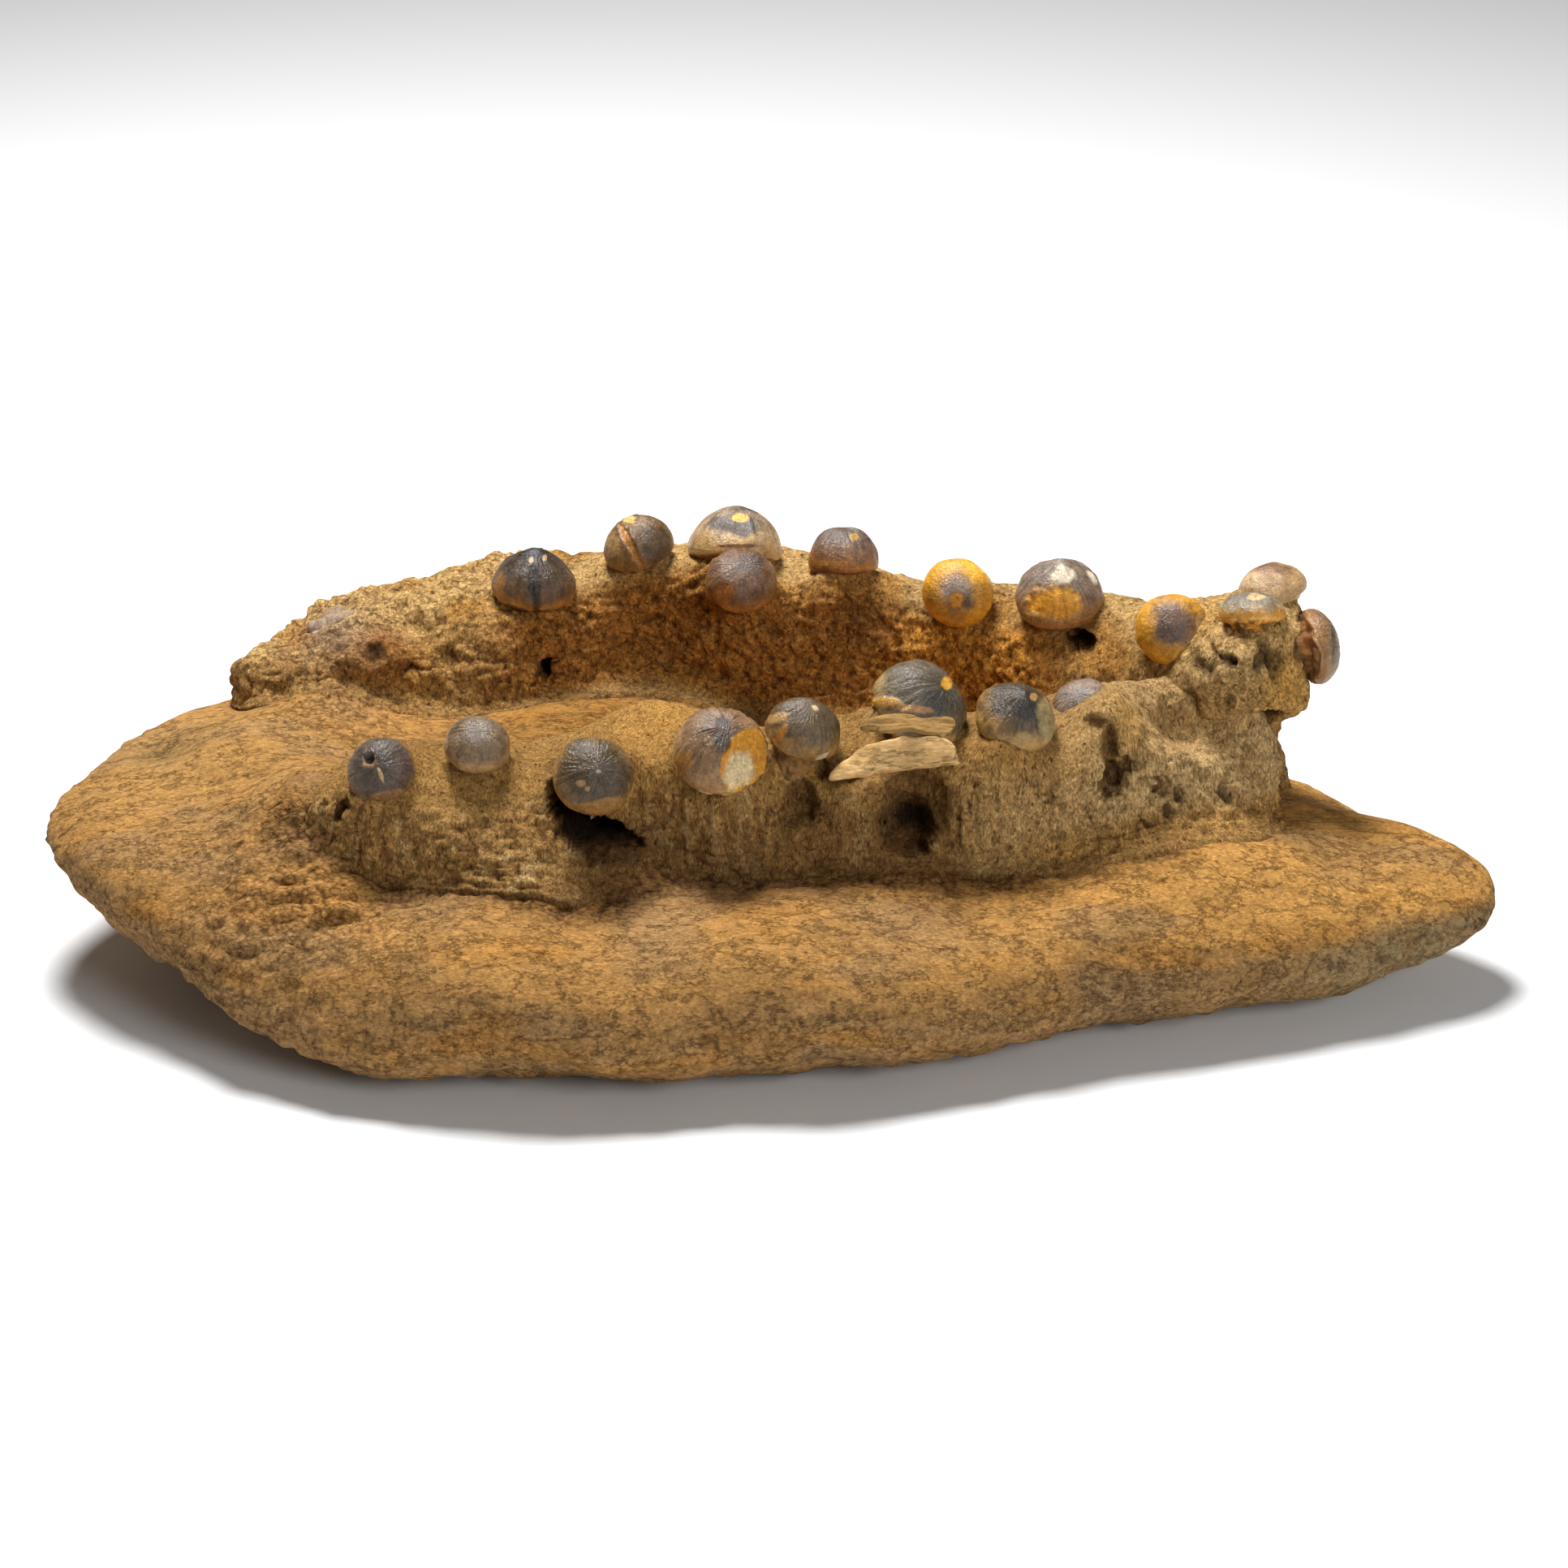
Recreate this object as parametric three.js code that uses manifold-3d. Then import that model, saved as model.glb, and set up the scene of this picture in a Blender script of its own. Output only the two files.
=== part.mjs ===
// A fossil mosasaur jaw in its stone: two toothed jaw bones standing on a loaf of sandstone.
// Millimetres, +Z up, +X along the jaw towards the snout, -Y the side that the teeth lean to.
import * as THREE from "three";
import { mergeVertices } from "three/addons/utils/BufferGeometryUtils.js";
import Module from "manifold-3d";

const wasm = await Module();
wasm.setup();

// ---- driving dimensions ----
const GAP = 0.35; // clear space between pieces that touch
const SWELL = 1.1; // height of the slow swells of the weathered stone
const MIDDLE = [-0.6, 15.5]; // plan centre of the whole fossil in the working frame
const STONE_STEPS = 44; // facets round the stone
const BONE_SIDES = 18; // points round a jaw bone's section
const BONE_STEPS = 36; // sections along a jaw bone
const FAR_BLUNT = 20; // length over which the far bone's ends draw in
const NEAR_BLUNT = 18; // and the near bone's
const TOOTH_SIDES = 10; // facets round a tooth

const v3 = (p) => new THREE.Vector3(...p);
const mix = (a, b, k) => a + (b - a) * k;
const clamp01 = (x) => Math.min(1, Math.max(0, x));
const degrees = THREE.MathUtils.degToRad;

// ---- meshes from grids ----

// Closes a grid of rings, each a closed loop of the same number of points, into one surface.
// Rings that shrink to a point close the two ends. Faces point out when the rings run
// anticlockwise as seen from the last ring.
function closedGrid(rings) {
  const around = rings[0].length;
  const index = [];
  for (let i = 0; i < rings.length - 1; i++)
    for (let j = 0; j < around; j++) {
      const a = i * around + j;
      const b = i * around + ((j + 1) % around);
      index.push(a, b, b + around, a, b + around, a + around);
    }
  const geometry = new THREE.BufferGeometry().setFromPoints(rings.flat());
  geometry.setIndex(index);
  return welded(geometry);
}

// Merges shared corners and drops the faces that this shrinks to nothing.
function welded(geometry) {
  for (const name of Object.keys(geometry.attributes))
    if (name !== "position") geometry.deleteAttribute(name);
  const merged = mergeVertices(geometry, 1e-3);
  const index = merged.index.array;
  const kept = [];
  for (let i = 0; i < index.length; i += 3) {
    const [a, b, c] = index.slice(i, i + 3);
    if (a !== b && b !== c && a !== c) kept.push(a, b, c);
  }
  merged.setIndex(kept);
  return merged;
}

// The same surface moved out along its own normals.
function inflated(geometry, by) {
  const grown = geometry.clone();
  grown.computeVertexNormals();
  const { position, normal } = grown.attributes;
  for (let i = 0; i < position.count; i++)
    position.setXYZ(
      i,
      position.getX(i) + by * normal.getX(i),
      position.getY(i) + by * normal.getY(i),
      position.getZ(i) + by * normal.getZ(i),
    );
  grown.deleteAttribute("normal");
  return grown;
}

function solid(geometry) {
  return new wasm.Manifold(
    new wasm.Mesh({
      numProp: 3,
      vertProperties: new Float32Array(geometry.attributes.position.array),
      triVerts: new Uint32Array(geometry.index.array),
    }),
  );
}

function geometryOf(manifold) {
  const mesh = manifold.getMesh();
  const geometry = new THREE.BufferGeometry();
  geometry.setAttribute("position", new THREE.BufferAttribute(mesh.vertProperties, 3));
  geometry.setIndex(new THREE.BufferAttribute(mesh.triVerts, 1));
  return geometry;
}

// Moves each point by the pushes near it: a push has a place, a reach and a way to go, and
// fades as a bell curve with the distance from its place. A reach may differ along the axes.
function pushed(point, pushes) {
  const moved = point.clone();
  for (const { at, reach, move } of pushes) {
    const reaches = v3(Array.isArray(reach) ? reach : [reach, reach, reach]);
    const off = point.clone().sub(v3(at)).divide(reaches);
    moved.addScaledVector(v3(move), Math.exp(-off.lengthSq()));
  }
  return moved;
}

// Slow swells of weathered stone: the ground itself is bent by a few millimetres, for stone and
// bone alike, so that they still meet. It fades to nothing at the flat that the stone rests on.
function weathered(point) {
  const { x, y, z } = point;
  const raised = clamp01(z / 12);
  return new THREE.Vector3(
    x + SWELL * raised * Math.sin(y / 11 + z / 7 + 1),
    y + SWELL * raised * Math.sin(x / 12 + z / 9),
    z + SWELL * raised * Math.sin(x / 10 + 1.6 * Math.sin(y / 13)),
  );
}

// ---- the stone ----

// Its widest line: x, y and height over the ground, from the left tip round the front.
const STONE_OUTLINE = [
  [-170, 2, 35],
  [-160, -27, 28],
  [-140, -43, 25],
  [-118, -61, 15],
  [-92, -76, 13],
  [-58, -81, 16],
  [-20, -80, 16],
  [20, -75, 15],
  [62, -62, 15],
  [104, -48, 16],
  [144, -35, 15],
  [164, -21, 17],
  [169, -7, 23],
  [160, 5, 25],
  [145, 14, 26],
  [127, 34, 27],
  [104, 63, 27],
  [62, 92, 27],
  [5, 109, 27],
  [-55, 113, 29],
  [-106, 98, 32],
  [-138, 66, 35],
  [-161, 32, 37],
];
const STONE_TOP_POWER = 8; // how square the shoulders are: higher keeps the top flat for longer
const FOOT_LIMIT = 0.93; // how near the rim a bone's foot may come, as a share of the way out
const STONE_BELLY = 6; // how far the round belly would reach under the ground without its flat
const outlineCurve = new THREE.CatmullRomCurve3(STONE_OUTLINE.map(v3), true, "catmullrom", 0.5);

// The widest line as a table by bearing from the stone's middle: bearing, radius, height.
const rimTable = Array.from({ length: 720 }, (_, i) => {
  const p = outlineCurve.getPoint(i / 720);
  return [Math.atan2(p.y, p.x), Math.hypot(p.x, p.y), p.z];
}).sort((a, b) => a[0] - b[0]);

function rimAt(bearing) {
  let i = rimTable.findIndex((row) => row[0] >= bearing);
  if (i <= 0) i = rimTable.length;
  const [a0, r0, z0] = rimTable[i - 1];
  const [a1, r1, z1] = rimTable[i % rimTable.length];
  const span = a1 - a0 + (a1 < a0 ? 2 * Math.PI : 0);
  const step = bearing - a0 + (bearing < a0 ? 2 * Math.PI : 0);
  const k = clamp01(step / span);
  return { radius: mix(r0, r1, k), height: mix(z0, z1, k) };
}

// Height of the flat part of the top: it falls towards the snout and to the front shelf.
const plateau = (x, y) => 38 - 0.036 * x - 0.05 * Math.max(0, -y - 30);

// Swells and hollows of the top.
const STONE_PUSHES = [
  { at: [-118, 22, 40], reach: 34, move: [0, 0, 5] }, // shoulder at the back of the nose
  { at: [-147, 24, 40], reach: 9, move: [0, 0, -4] }, // pit in the nose
  { at: [-92, -43, 38], reach: 9, move: [0, 0, -3] }, // crevice at the foot of the near jaw
  { at: [-114, -52, 34], reach: 10, move: [0, 0, 3] }, // fold of the layers beside it
  { at: [-108, 42, 44], reach: 12, move: [0, 0, 4] }, // ledge under the far jaw's lobe
  { at: [-106, -20, 42], reach: 19, move: [0, 0, 12] }, // ramp up to the near jaw's left end
  { at: [-55, 40, 42], reach: 24, move: [0, 0, 3] }, // sand left between the jaws
  { at: [92, -24, 34], reach: [36, 14, 20], move: [0, 0, 6] }, // sand banked up along the foot of the snout
  { at: [158, 12, 30], reach: [16, 24, 20], move: [0, 0, 4] }, // swell of the right end
  { at: [132, 26, 34], reach: [14, 18, 20], move: [0, 0, -2] }, // dip behind the snout
  { at: [122, -6, 34], reach: [13, 14, 20], move: [0, 0, 4] }, // end of the bank
];

function stoneTop(x, y) {
  const rim = rimAt(Math.atan2(y, x));
  const out = Math.min(1, Math.hypot(x, y) / rim.radius);
  const crown = (1 - out ** STONE_TOP_POWER) ** (1 / 2);
  const point = new THREE.Vector3(x, y, mix(rim.height, plateau(x, y), crown));
  return mix(point.z, pushed(point, STONE_PUSHES).z, crown);
}

// Draws a point of a jaw bone in, so that its foot stays on the stone.
function keptOnStone(point) {
  const reach = FOOT_LIMIT * rimAt(Math.atan2(point.y, point.x)).radius;
  const inwards = Math.min(1, reach / Math.hypot(point.x, point.y));
  point.x *= inwards;
  point.y *= inwards;
}

function stoneUnder(x, y) {
  const rim = rimAt(Math.atan2(y, x));
  const out = Math.min(1, Math.hypot(x, y) / rim.radius);
  const belly = (1 - out ** 2.6) ** (1 / 1.7);
  return Math.max(0, rim.height - (rim.height + STONE_BELLY) * belly);
}

// Rings from the middle of the top over the rim to the middle of the underside.
function stoneGeometry() {
  const outs = [0, 0.3, 0.55, 0.72, 0.85, 0.93, 0.98, 1];
  const rings = [
    ...outs.map((out) => ({ out, height: stoneTop })),
    ...outs.slice(0, -1).reverse().map((out) => ({ out, height: stoneUnder })),
  ].map(({ out, height }) =>
    Array.from({ length: STONE_STEPS }, (_, i) => {
      const p = outlineCurve.getPoint(1 - i / STONE_STEPS);
      const [x, y] = [p.x * out, p.y * out];
      return weathered(new THREE.Vector3(x, y, out === 1 ? p.z : height(x, y)));
    }),
  );
  return closedGrid(rings);
}

// ---- the jaw bones ----

// A section: u across in half-widths, positive to the side that the teeth lean to, and the
// share of the height over the stone. The feet end under the stone's surface.
const BONE_SECTION = [
  [-1.36, -0.22],
  [-1.27, 0],
  [-1.13, 0.13],
  [-1.02, 0.42],
  [-0.9, 0.76],
  [-0.6, 0.98],
  [-0.2, 1],
  [0.25, 0.95],
  [0.62, 0.85],
  [0.86, 0.66],
  [0.97, 0.38],
  [1.08, 0.16],
  [1.3, 0.04],
  [1.5, 0],
  [1.6, -0.22],
];

// Stations along each bone: x, y, height of the crest, half-width, and how far the sand at the
// foot of the tooth side spreads.
const FAR_BONE = [
  [-136, 60, 53, 14, 1],
  [-121, 64, 55, 17, 1],
  [-104, 69, 58.5, 19, 1],
  [-80, 76, 64, 20, 1],
  [-52, 81, 65, 20, 1],
  [-20, 81, 69.5, 18.5, 1],
  [12, 75, 66.5, 16.5, 1],
  [38, 67, 65, 16, 1],
  [60, 56, 68.5, 16, 1],
  [82, 40, 69.5, 16, 1],
  [102, 24, 80, 17, 1],
  [120, 12, 81, 16, 1],
];
const NEAR_BONE = [
  [-108, -19, 51, 10, 0.4],
  [-98, -21, 57, 14, 0.4],
  [-86, -22, 61, 16, 0.4],
  [-60, -22, 60.5, 17, 0.4],
  [-38, -19, 62.5, 18, 0.4],
  [-18, -17, 65, 16.5, 0.3],
  [6, -16, 62, 16, 0.3],
  [34, -14, 65, 15.5, 0.3],
  [60, -10, 65, 16.5, 0.8],
  [84, -2, 65.5, 17, 1.2],
  [102, 8, 67, 17, 1.3],
  [115, 14, 67, 14, 1.3],
];

// How much of the section is left at a place along the bone: it draws in to a point over the
// last stretch at each end, as the end of a loaf does.
function endFade(k, length, blunt) {
  const near = Math.min(k, 1 - k) * length;
  return (1 - clamp01(1 - near / blunt) ** 3.2) ** (1 / 2.2);
}

// Moves a point that lies inside a hollow's outline, seen from the front, back to the far wall of
// an ellipsoid in the hollow's mouth.
function hollowed(point, hollows) {
  const worn = point.clone();
  for (const { at, size, turn } of hollows) {
    const [right, up] = [Math.cos(degrees(turn)), Math.sin(degrees(turn))];
    const [x, z] = [point.x - at[0], point.z - at[2]];
    const along = (x * right + z * up) / size[0];
    const across = (z * right - x * up) / size[2];
    const inside = 1 - along ** 2 - across ** 2;
    if (inside > 0) worn.y = Math.max(worn.y, at[1] + size[1] * Math.sqrt(inside));
  }
  return worn;
}

function boneGeometry(stations, blunt, pushes, hollows) {
  const curve = (points) => new THREE.CatmullRomCurve3(points.map(v3), false, "catmullrom", 0.5);
  const path = curve(stations.map(([x, y, z]) => [x, y, z]));
  const widths = curve(stations.map((station) => [station[3], station[4], 0]));
  const section = curve(BONE_SECTION.map(([u, share]) => [u, share, 0]));
  const length = path.getLength();
  const rings = Array.from({ length: BONE_STEPS + 1 }, (_, i) => {
    const k = 0.5 - 0.5 * Math.cos((Math.PI * i) / BONE_STEPS); // rings crowd towards the round ends
    const place = path.getPoint(k);
    const along = path.getTangent(k).setZ(0).normalize();
    const across = new THREE.Vector3(along.y, -along.x, 0);
    const fade = endFade(k, length, blunt);
    const { x: width, y: foot } = widths.getPoint(k);
    return Array.from({ length: BONE_SIDES }, (_, j) => {
      const { x: u, y: share } = section.getPoint(j / (BONE_SIDES - 1));
      const spread = Math.min(u, 1) + foot * Math.max(u - 1, 0);
      const point = place.clone().addScaledVector(across, spread * width * fade);
      keptOnStone(point);
      const ground = stoneTop(point.x, point.y);
      point.z = fade === 0 ? ground - 4 : ground + share * (place.z - ground) * fade ** 0.6;
      return weathered(hollowed(pushed(point, pushes), hollows));
    });
  });
  return closedGrid(rings);
}

const FAR_PUSHES = [
  { at: [-126, 54, 54], reach: 9, move: [-2, -3, 2] }, // rounded left lobe
  { at: [-101, 56, 52], reach: 7, move: [3, -5, 1] }, // crust at the lobe's foot
  { at: [-90, 62, 60], reach: 7, move: [0, 2, -5] }, // step down behind the lobe
  { at: [-72, 60, 50], reach: 13, move: [0, -7, 0] }, // sand sloping to the trough
  { at: [-30, 62, 50], reach: 17, move: [0, 7, 0] }, // long hollow of the wall
  { at: [21, 63, 60], reach: 7, move: [0, 4, 0] }, // smooth hollow under the fifth tooth
  { at: [126, 10, 43], reach: [14, 16, 12], move: [-9, 1, 0] }, // hollowed end of the snout
  { at: [118, 7, 60.5], reach: [8, 10, 5.5], move: [10, -1, 0] }, // lip over the hollow
  { at: [104, 6, 70], reach: [14, 9, 9], move: [0, -4, 0] }, // face of the snout
  { at: [-9, 66, 58], reach: [13, 10, 10], move: [0, -4, 6] }, // shoulder of crust under the fourth tooth
  { at: [17, 65, 61], reach: [12, 9, 9], move: [0, -4, 6.5] }, // boss under the fifth
  { at: [110, 5, 71], reach: [8, 7, 7], move: [0, -3, 6] }, // boss under the ninth
  { at: [115, 24, 72], reach: 9, move: [0, 1, 6] }, // boss under the tenth
  { at: [121, 12, 70], reach: [8, 8, 6], move: [4, 0, 0] }, // boss under the last
  { at: [44.5, 62, 70], reach: [8, 7, 8], move: [0, -2, 9] }, // crust up the back of the sixth
  { at: [94, 30, 70], reach: [7, 7, 7], move: [0, -1, 6] }, // up the back of the eighth
];
const NEAR_PUSHES = [
  { at: [-78, -38, 46], reach: [13, 14, 12], move: [0, -3, 0] }, // swelling under the first two teeth
  { at: [-58, -42, 41], reach: [11, 14, 9], move: [0, -8, 0] }, // fan of sand at the right of their foot
  { at: [-45, -42, 38], reach: [7, 12, 5], move: [0, -10, 0] }, // its toe
  { at: [-28, -8, 62], reach: 12, move: [0, 3, 4] }, // hump of sand on the crest
  { at: [-28, -37, 50], reach: [10, 10, 9], move: [0, 6, 0] }, // wall set back beside the cleft
  { at: [-10, -35, 48], reach: [7, 12, 10], move: [0, -2, 0] }, // swelling over a root
  { at: [18, -33, 50], reach: [6, 12, 12], move: [0, -3, 0] }, // swelling over a root
  { at: [24, -33, 51], reach: [2.5, 10, 11], move: [0, -3, 0] }, // rim of the empty socket
  { at: [46, -30, 52], reach: [6, 12, 14], move: [0, -4, 0] }, // buttress right of the socket
  { at: [54, -25, 62], reach: [8, 8, 6], move: [0, -2, 3] }, // crust over the seventh tooth's rim
  { at: [49, -26, 64], reach: [6, 7, 6], move: [0, -3, 4] }, // its higher left side
  { at: [67, -21, 59], reach: [6, 9, 10], move: [0, -5, 0] }, // buttress under the eighth tooth
  { at: [76, -14, 61], reach: [6, 8, 8], move: [0, -3, 7] }, // crust over the eighth tooth
  { at: [72, -13, 64], reach: [6, 6, 6], move: [0, 0, 3] }, // its front edge
  { at: [80, -8, 67], reach: [5, 8, 7], move: [0, -1, 5] }, // its hump on the right
  { at: [80, -17, 65], reach: [3, 8, 6], move: [0, -4, 0] }, // ridge running down from it
  { at: [87, -16, 60], reach: [5, 8, 4], move: [0, -4, 0] }, // its lower end
  { at: [93, -7, 66], reach: [9, 9, 9], move: [0, 4, -8] }, // dip above the ridge
  { at: [104, -9, 63], reach: [16, 12, 14], move: [0, 7, -3] }, // slope of the snout's face
  { at: [-88.7, -25, 60], reach: [7, 7, 7], move: [0, 0, 5] }, // crust up the back of the first
  { at: [-67.4, -22, 60], reach: [7, 7, 6], move: [0, 0, 4] }, // up the back of the second
  { at: [-40, -28, 60], reach: [7, 7, 7], move: [0, 0, 6] }, // up the back of the third
];
// Hollows worn back into a bone's front: middle of the mouth, half-sizes along, in and across, and
// how far the long side is turned from level, in degrees.
const FAR_HOLLOWS = [
  { at: [-83, 48, 57], size: [7, 9, 9], turn: 0 }, // behind the lobe's broken edge
  { at: [-90, 46, 50], size: [4, 10, 2.5], turn: 0 }, // notch at the foot of that edge
  { at: [-99, 49, 57], size: [5, 6, 5], turn: 0 }, // beside the root
  { at: [-58, 58, 49.5], size: [2.5, 8, 2.5], turn: 0 }, // hole under the first tooth
];
const NEAR_HOLLOWS = [
  { at: [-46, -40, 54], size: [9, 20, 4], turn: -63 }, // cleft under the third tooth
  { at: [-38, -40, 45.5], size: [11, 18, 4.6], turn: -18 }, // its lower end
  { at: [6, -32, 54], size: [4.5, 7, 6.4], turn: 20 }, // hollow between roots
  { at: [10.5, -31, 61.5], size: [3, 10, 4], turn: 20 }, // its deeper top
  { at: [32.3, -30, 51], size: [8, 7, 12.5], turn: 0 }, // empty round socket
  { at: [31.5, -26, 45], size: [6.5, 6, 6.5], turn: -10 }, // its deeper floor
  { at: [75.4, -21, 62], size: [2.3, 4, 7], turn: 0 }, // gap beside it
  { at: [77, -23, 56], size: [4, 5.5, 5.5], turn: 0 }, // recess at its foot
];

// ---- the teeth ----

// A button crown in girth radii. Over its girth it is a quarter turn: the cosine, raised to the
// crown's taper, is its width, and the sine is its height. Under the girth it is nearly flat, and
// runs in to a short root.
const DOME_ANGLES = [90, 66, 45, 22, 0]; // up from the girth, from the tip down
const UNDERSIDE = [
  [0.97, -0.13],
  [0.7, -0.31],
  [0.56, -1.15],
  [0, -1.2],
];

// Girth centre, girth radius, lean from upright and the bearing that it leans to, in degrees,
// height of the crown in girth radii, taper (1 on a round crown, 2 on a pointed one), and colour.
// `broken` cuts the crown by a plane: the way that the break faces, and how far it stands from the
// middle of the girth in girth radii.
const TEETH = {
  near_tooth_1: {
    at: [-88.7, -32, 62.1],
    radius: 7.7,
    lean: 55,
    bearing: -90,
    crown: 0.9,
    taper: 1,
    color: 0x5d6373,
  },
  near_tooth_2: {
    at: [-67.4, -26, 65.6],
    radius: 7.4,
    lean: 28,
    bearing: -84,
    crown: 0.74,
    taper: 0.85,
    color: 0x7c6f66,
  },
  near_tooth_3: {
    at: [-40.8, -36, 62.6],
    radius: 9,
    lean: 50,
    bearing: -75,
    crown: 0.82,
    taper: 1.1,
    color: 0x565a66,
  },
  near_tooth_4: {
    at: [-12.4, -29, 65],
    radius: 10.7,
    lean: 30,
    bearing: -71,
    crown: 1,
    taper: 0.95,
    color: 0x7a665c,
    broken: { facing: [0.72, -0.68, 0.12], from: 0.73 },
  },
  near_tooth_5: {
    at: [6, -25, 68.1],
    radius: 8.7,
    lean: 20,
    bearing: -31,
    crown: 0.95,
    taper: 1,
    color: 0x5f564c,
  },
  near_tooth_6: {
    at: [31.7, -15, 69.4],
    radius: 11.6,
    lean: 43,
    bearing: -25,
    crown: 0.95,
    taper: 1,
    color: 0x5f6468,
  },
  near_tooth_7: {
    at: [54.6, -18, 68.8],
    radius: 9.4,
    lean: 26,
    bearing: -58,
    crown: 0.95,
    taper: 1.8,
    color: 0x6c6455,
  },
  near_tooth_8: {
    at: [71.5, -3.3, 64.7],
    radius: 7.4,
    lean: 37,
    bearing: -120,
    crown: 0.9,
    taper: 1,
    color: 0x83787c,
  },
  far_tooth_root: {
    at: [-109, 62, 55.5],
    radius: 7.1,
    lean: 48,
    bearing: -90,
    crown: 0.35,
    taper: 1,
    color: 0x9a8272,
  },
  far_tooth_1: {
    at: [-60, 69, 65.7],
    radius: 10.6,
    lean: 8,
    bearing: -57,
    crown: 1.02,
    taper: 1.7,
    color: 0x55504f,
  },
  far_tooth_2: {
    at: [-34, 77, 72.7],
    radius: 8.9,
    lean: 16,
    bearing: -165,
    crown: 0.95,
    taper: 0.95,
    color: 0x7d6655,
  },
  far_tooth_3: {
    at: [-10.1, 78, 72],
    radius: 11.8,
    lean: 20,
    bearing: 78,
    crown: 0.95,
    taper: 1.1,
    color: 0x8b8178,
  },
  far_tooth_4: {
    at: [-8.7, 62, 70.1],
    radius: 8.9,
    lean: 32,
    bearing: -75,
    crown: 0.7,
    taper: 0.85,
    color: 0x7b5f52,
  },
  far_tooth_5: {
    at: [16.8, 70, 71.6],
    radius: 8.6,
    lean: 18,
    bearing: 90,
    crown: 1.08,
    taper: 0.9,
    color: 0x74625c,
  },
  far_tooth_6: {
    at: [44.5, 54, 70.4],
    radius: 8.8,
    lean: 80,
    bearing: -95,
    crown: 0.85,
    taper: 1.1,
    color: 0xb5863c,
  },
  far_tooth_7: {
    at: [68.8, 46, 72.2],
    radius: 11,
    lean: 15,
    bearing: -95,
    crown: 1.02,
    taper: 1.7,
    color: 0x7c7078,
  },
  far_tooth_8: {
    at: [94, 21.8, 73.8],
    radius: 8.9,
    lean: 62,
    bearing: -88,
    crown: 0.9,
    taper: 1,
    color: 0xa87a3a,
  },
  far_tooth_9: {
    at: [111.4, 12, 82.2],
    radius: 7.9,
    lean: 22,
    bearing: 90,
    crown: 0.63,
    taper: 0.95,
    color: 0x6f7077,
  },
  far_tooth_10: {
    at: [117.3, 25, 82.4],
    radius: 8.4,
    lean: 22,
    bearing: 160,
    crown: 0.8,
    taper: 1,
    color: 0xa88c6d,
  },
  far_tooth_11: {
    at: [126.4, 13, 73.5],
    radius: 8.7,
    lean: 85,
    bearing: 10,
    crown: 0.65,
    taper: 1,
    color: 0x8c745c,
  },
};
// A crown that grew or lies against another is hollowed by it.
const HOLLOWED_BY = {
  far_tooth_3: ["far_tooth_4"],
  far_tooth_10: ["far_tooth_9"],
  far_tooth_11: ["far_tooth_9", "far_tooth_10"],
};

const UP = new THREE.Vector3(0, 0, 1);

// The way that a tooth leans.
function toothAxis({ lean, bearing }) {
  const [slant, way] = [degrees(lean), degrees(bearing)];
  return new THREE.Vector3(Math.sin(slant) * Math.cos(way), Math.sin(slant) * Math.sin(way), Math.cos(slant));
}

// Crust stands up round each root as a collar: how far below the girth its middle lies, how far
// it reaches and how far it rises, in girth radii.
const COLLAR = { depth: 0.8, reach: 1, rise: 0.5 };

// A push for the collar of each tooth on a side.
function collars(side) {
  const teeth = Object.entries(TEETH).filter(([name]) => name.startsWith(side));
  return teeth.map(([, tooth]) => {
    const axis = toothAxis(tooth);
    const at = v3(tooth.at).addScaledVector(axis, -COLLAR.depth * tooth.radius);
    const move = axis.multiplyScalar(COLLAR.rise * tooth.radius);
    return { at: at.toArray(), reach: COLLAR.reach * tooth.radius, move: move.toArray() };
  });
}

function toothGeometry({ at, radius, lean, bearing, crown, taper, broken }) {
  const dome = DOME_ANGLES.map((angle) => {
    const turn = degrees(angle);
    return [Math.max(0, Math.cos(turn)) ** taper, crown * Math.sin(turn)];
  });
  dome[0][0] = 0; // the tip lies on the axis
  // a lathe's profile runs from the foot up, so that its faces point out
  const profile = [...dome, ...UNDERSIDE].reverse();
  const points = profile.map(([r, h]) => new THREE.Vector2(r * radius, h * radius));
  const lathe = new THREE.LatheGeometry(points, TOOTH_SIDES);
  const axis = toothAxis({ lean, bearing });
  lathe.rotateX(Math.PI / 2).applyQuaternion(new THREE.Quaternion().setFromUnitVectors(UP, axis));
  if (broken) flattened(lathe, v3(broken.facing).normalize(), broken.from * radius);
  return welded(lathe).translate(...at);
}

// Brings every point that stands past a plane back onto it.
function flattened(geometry, facing, distance) {
  const { position } = geometry.attributes;
  const point = new THREE.Vector3();
  for (let i = 0; i < position.count; i++) {
    point.fromBufferAttribute(position, i);
    const past = point.dot(facing) - distance;
    if (past > 0) point.addScaledVector(facing, -past);
    position.setXYZ(i, point.x, point.y, point.z);
  }
}

// ---- splinters of bone ----

// Flat broken plates that lie on the near jaw's front edge: outline in the plate's own plane,
// thickness, place of the outline's origin, and how far the plate leans back from upright.
const SPLINTER = {
  outline: [
    [-14.3, -4.8], [-1.4, -2.9], [13.4, -1.2], [14.5, 0.2], [14.1, 2.6],
    [12, 4.6], [8.6, 5.3], [3, 5.2], [-3.6, 3.9], [-9.3, 0.7],
  ],
  thickness: 3,
  at: [26.6, -28, 62.9],
  lean: 38,
};
const FLAKE = {
  outline: [
    [-10.5, -1.2], [-6, -2.2], [0, -1.5], [4.5, -2.7], [8.3, -3.4],
    [10.5, -0.6], [9.3, 1.8], [4, 1.7], [-1, 3.2], [-7, 2.2],
  ],
  thickness: 1.5,
  at: [30, -28.4, 71.4],
  lean: 62,
};

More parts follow.
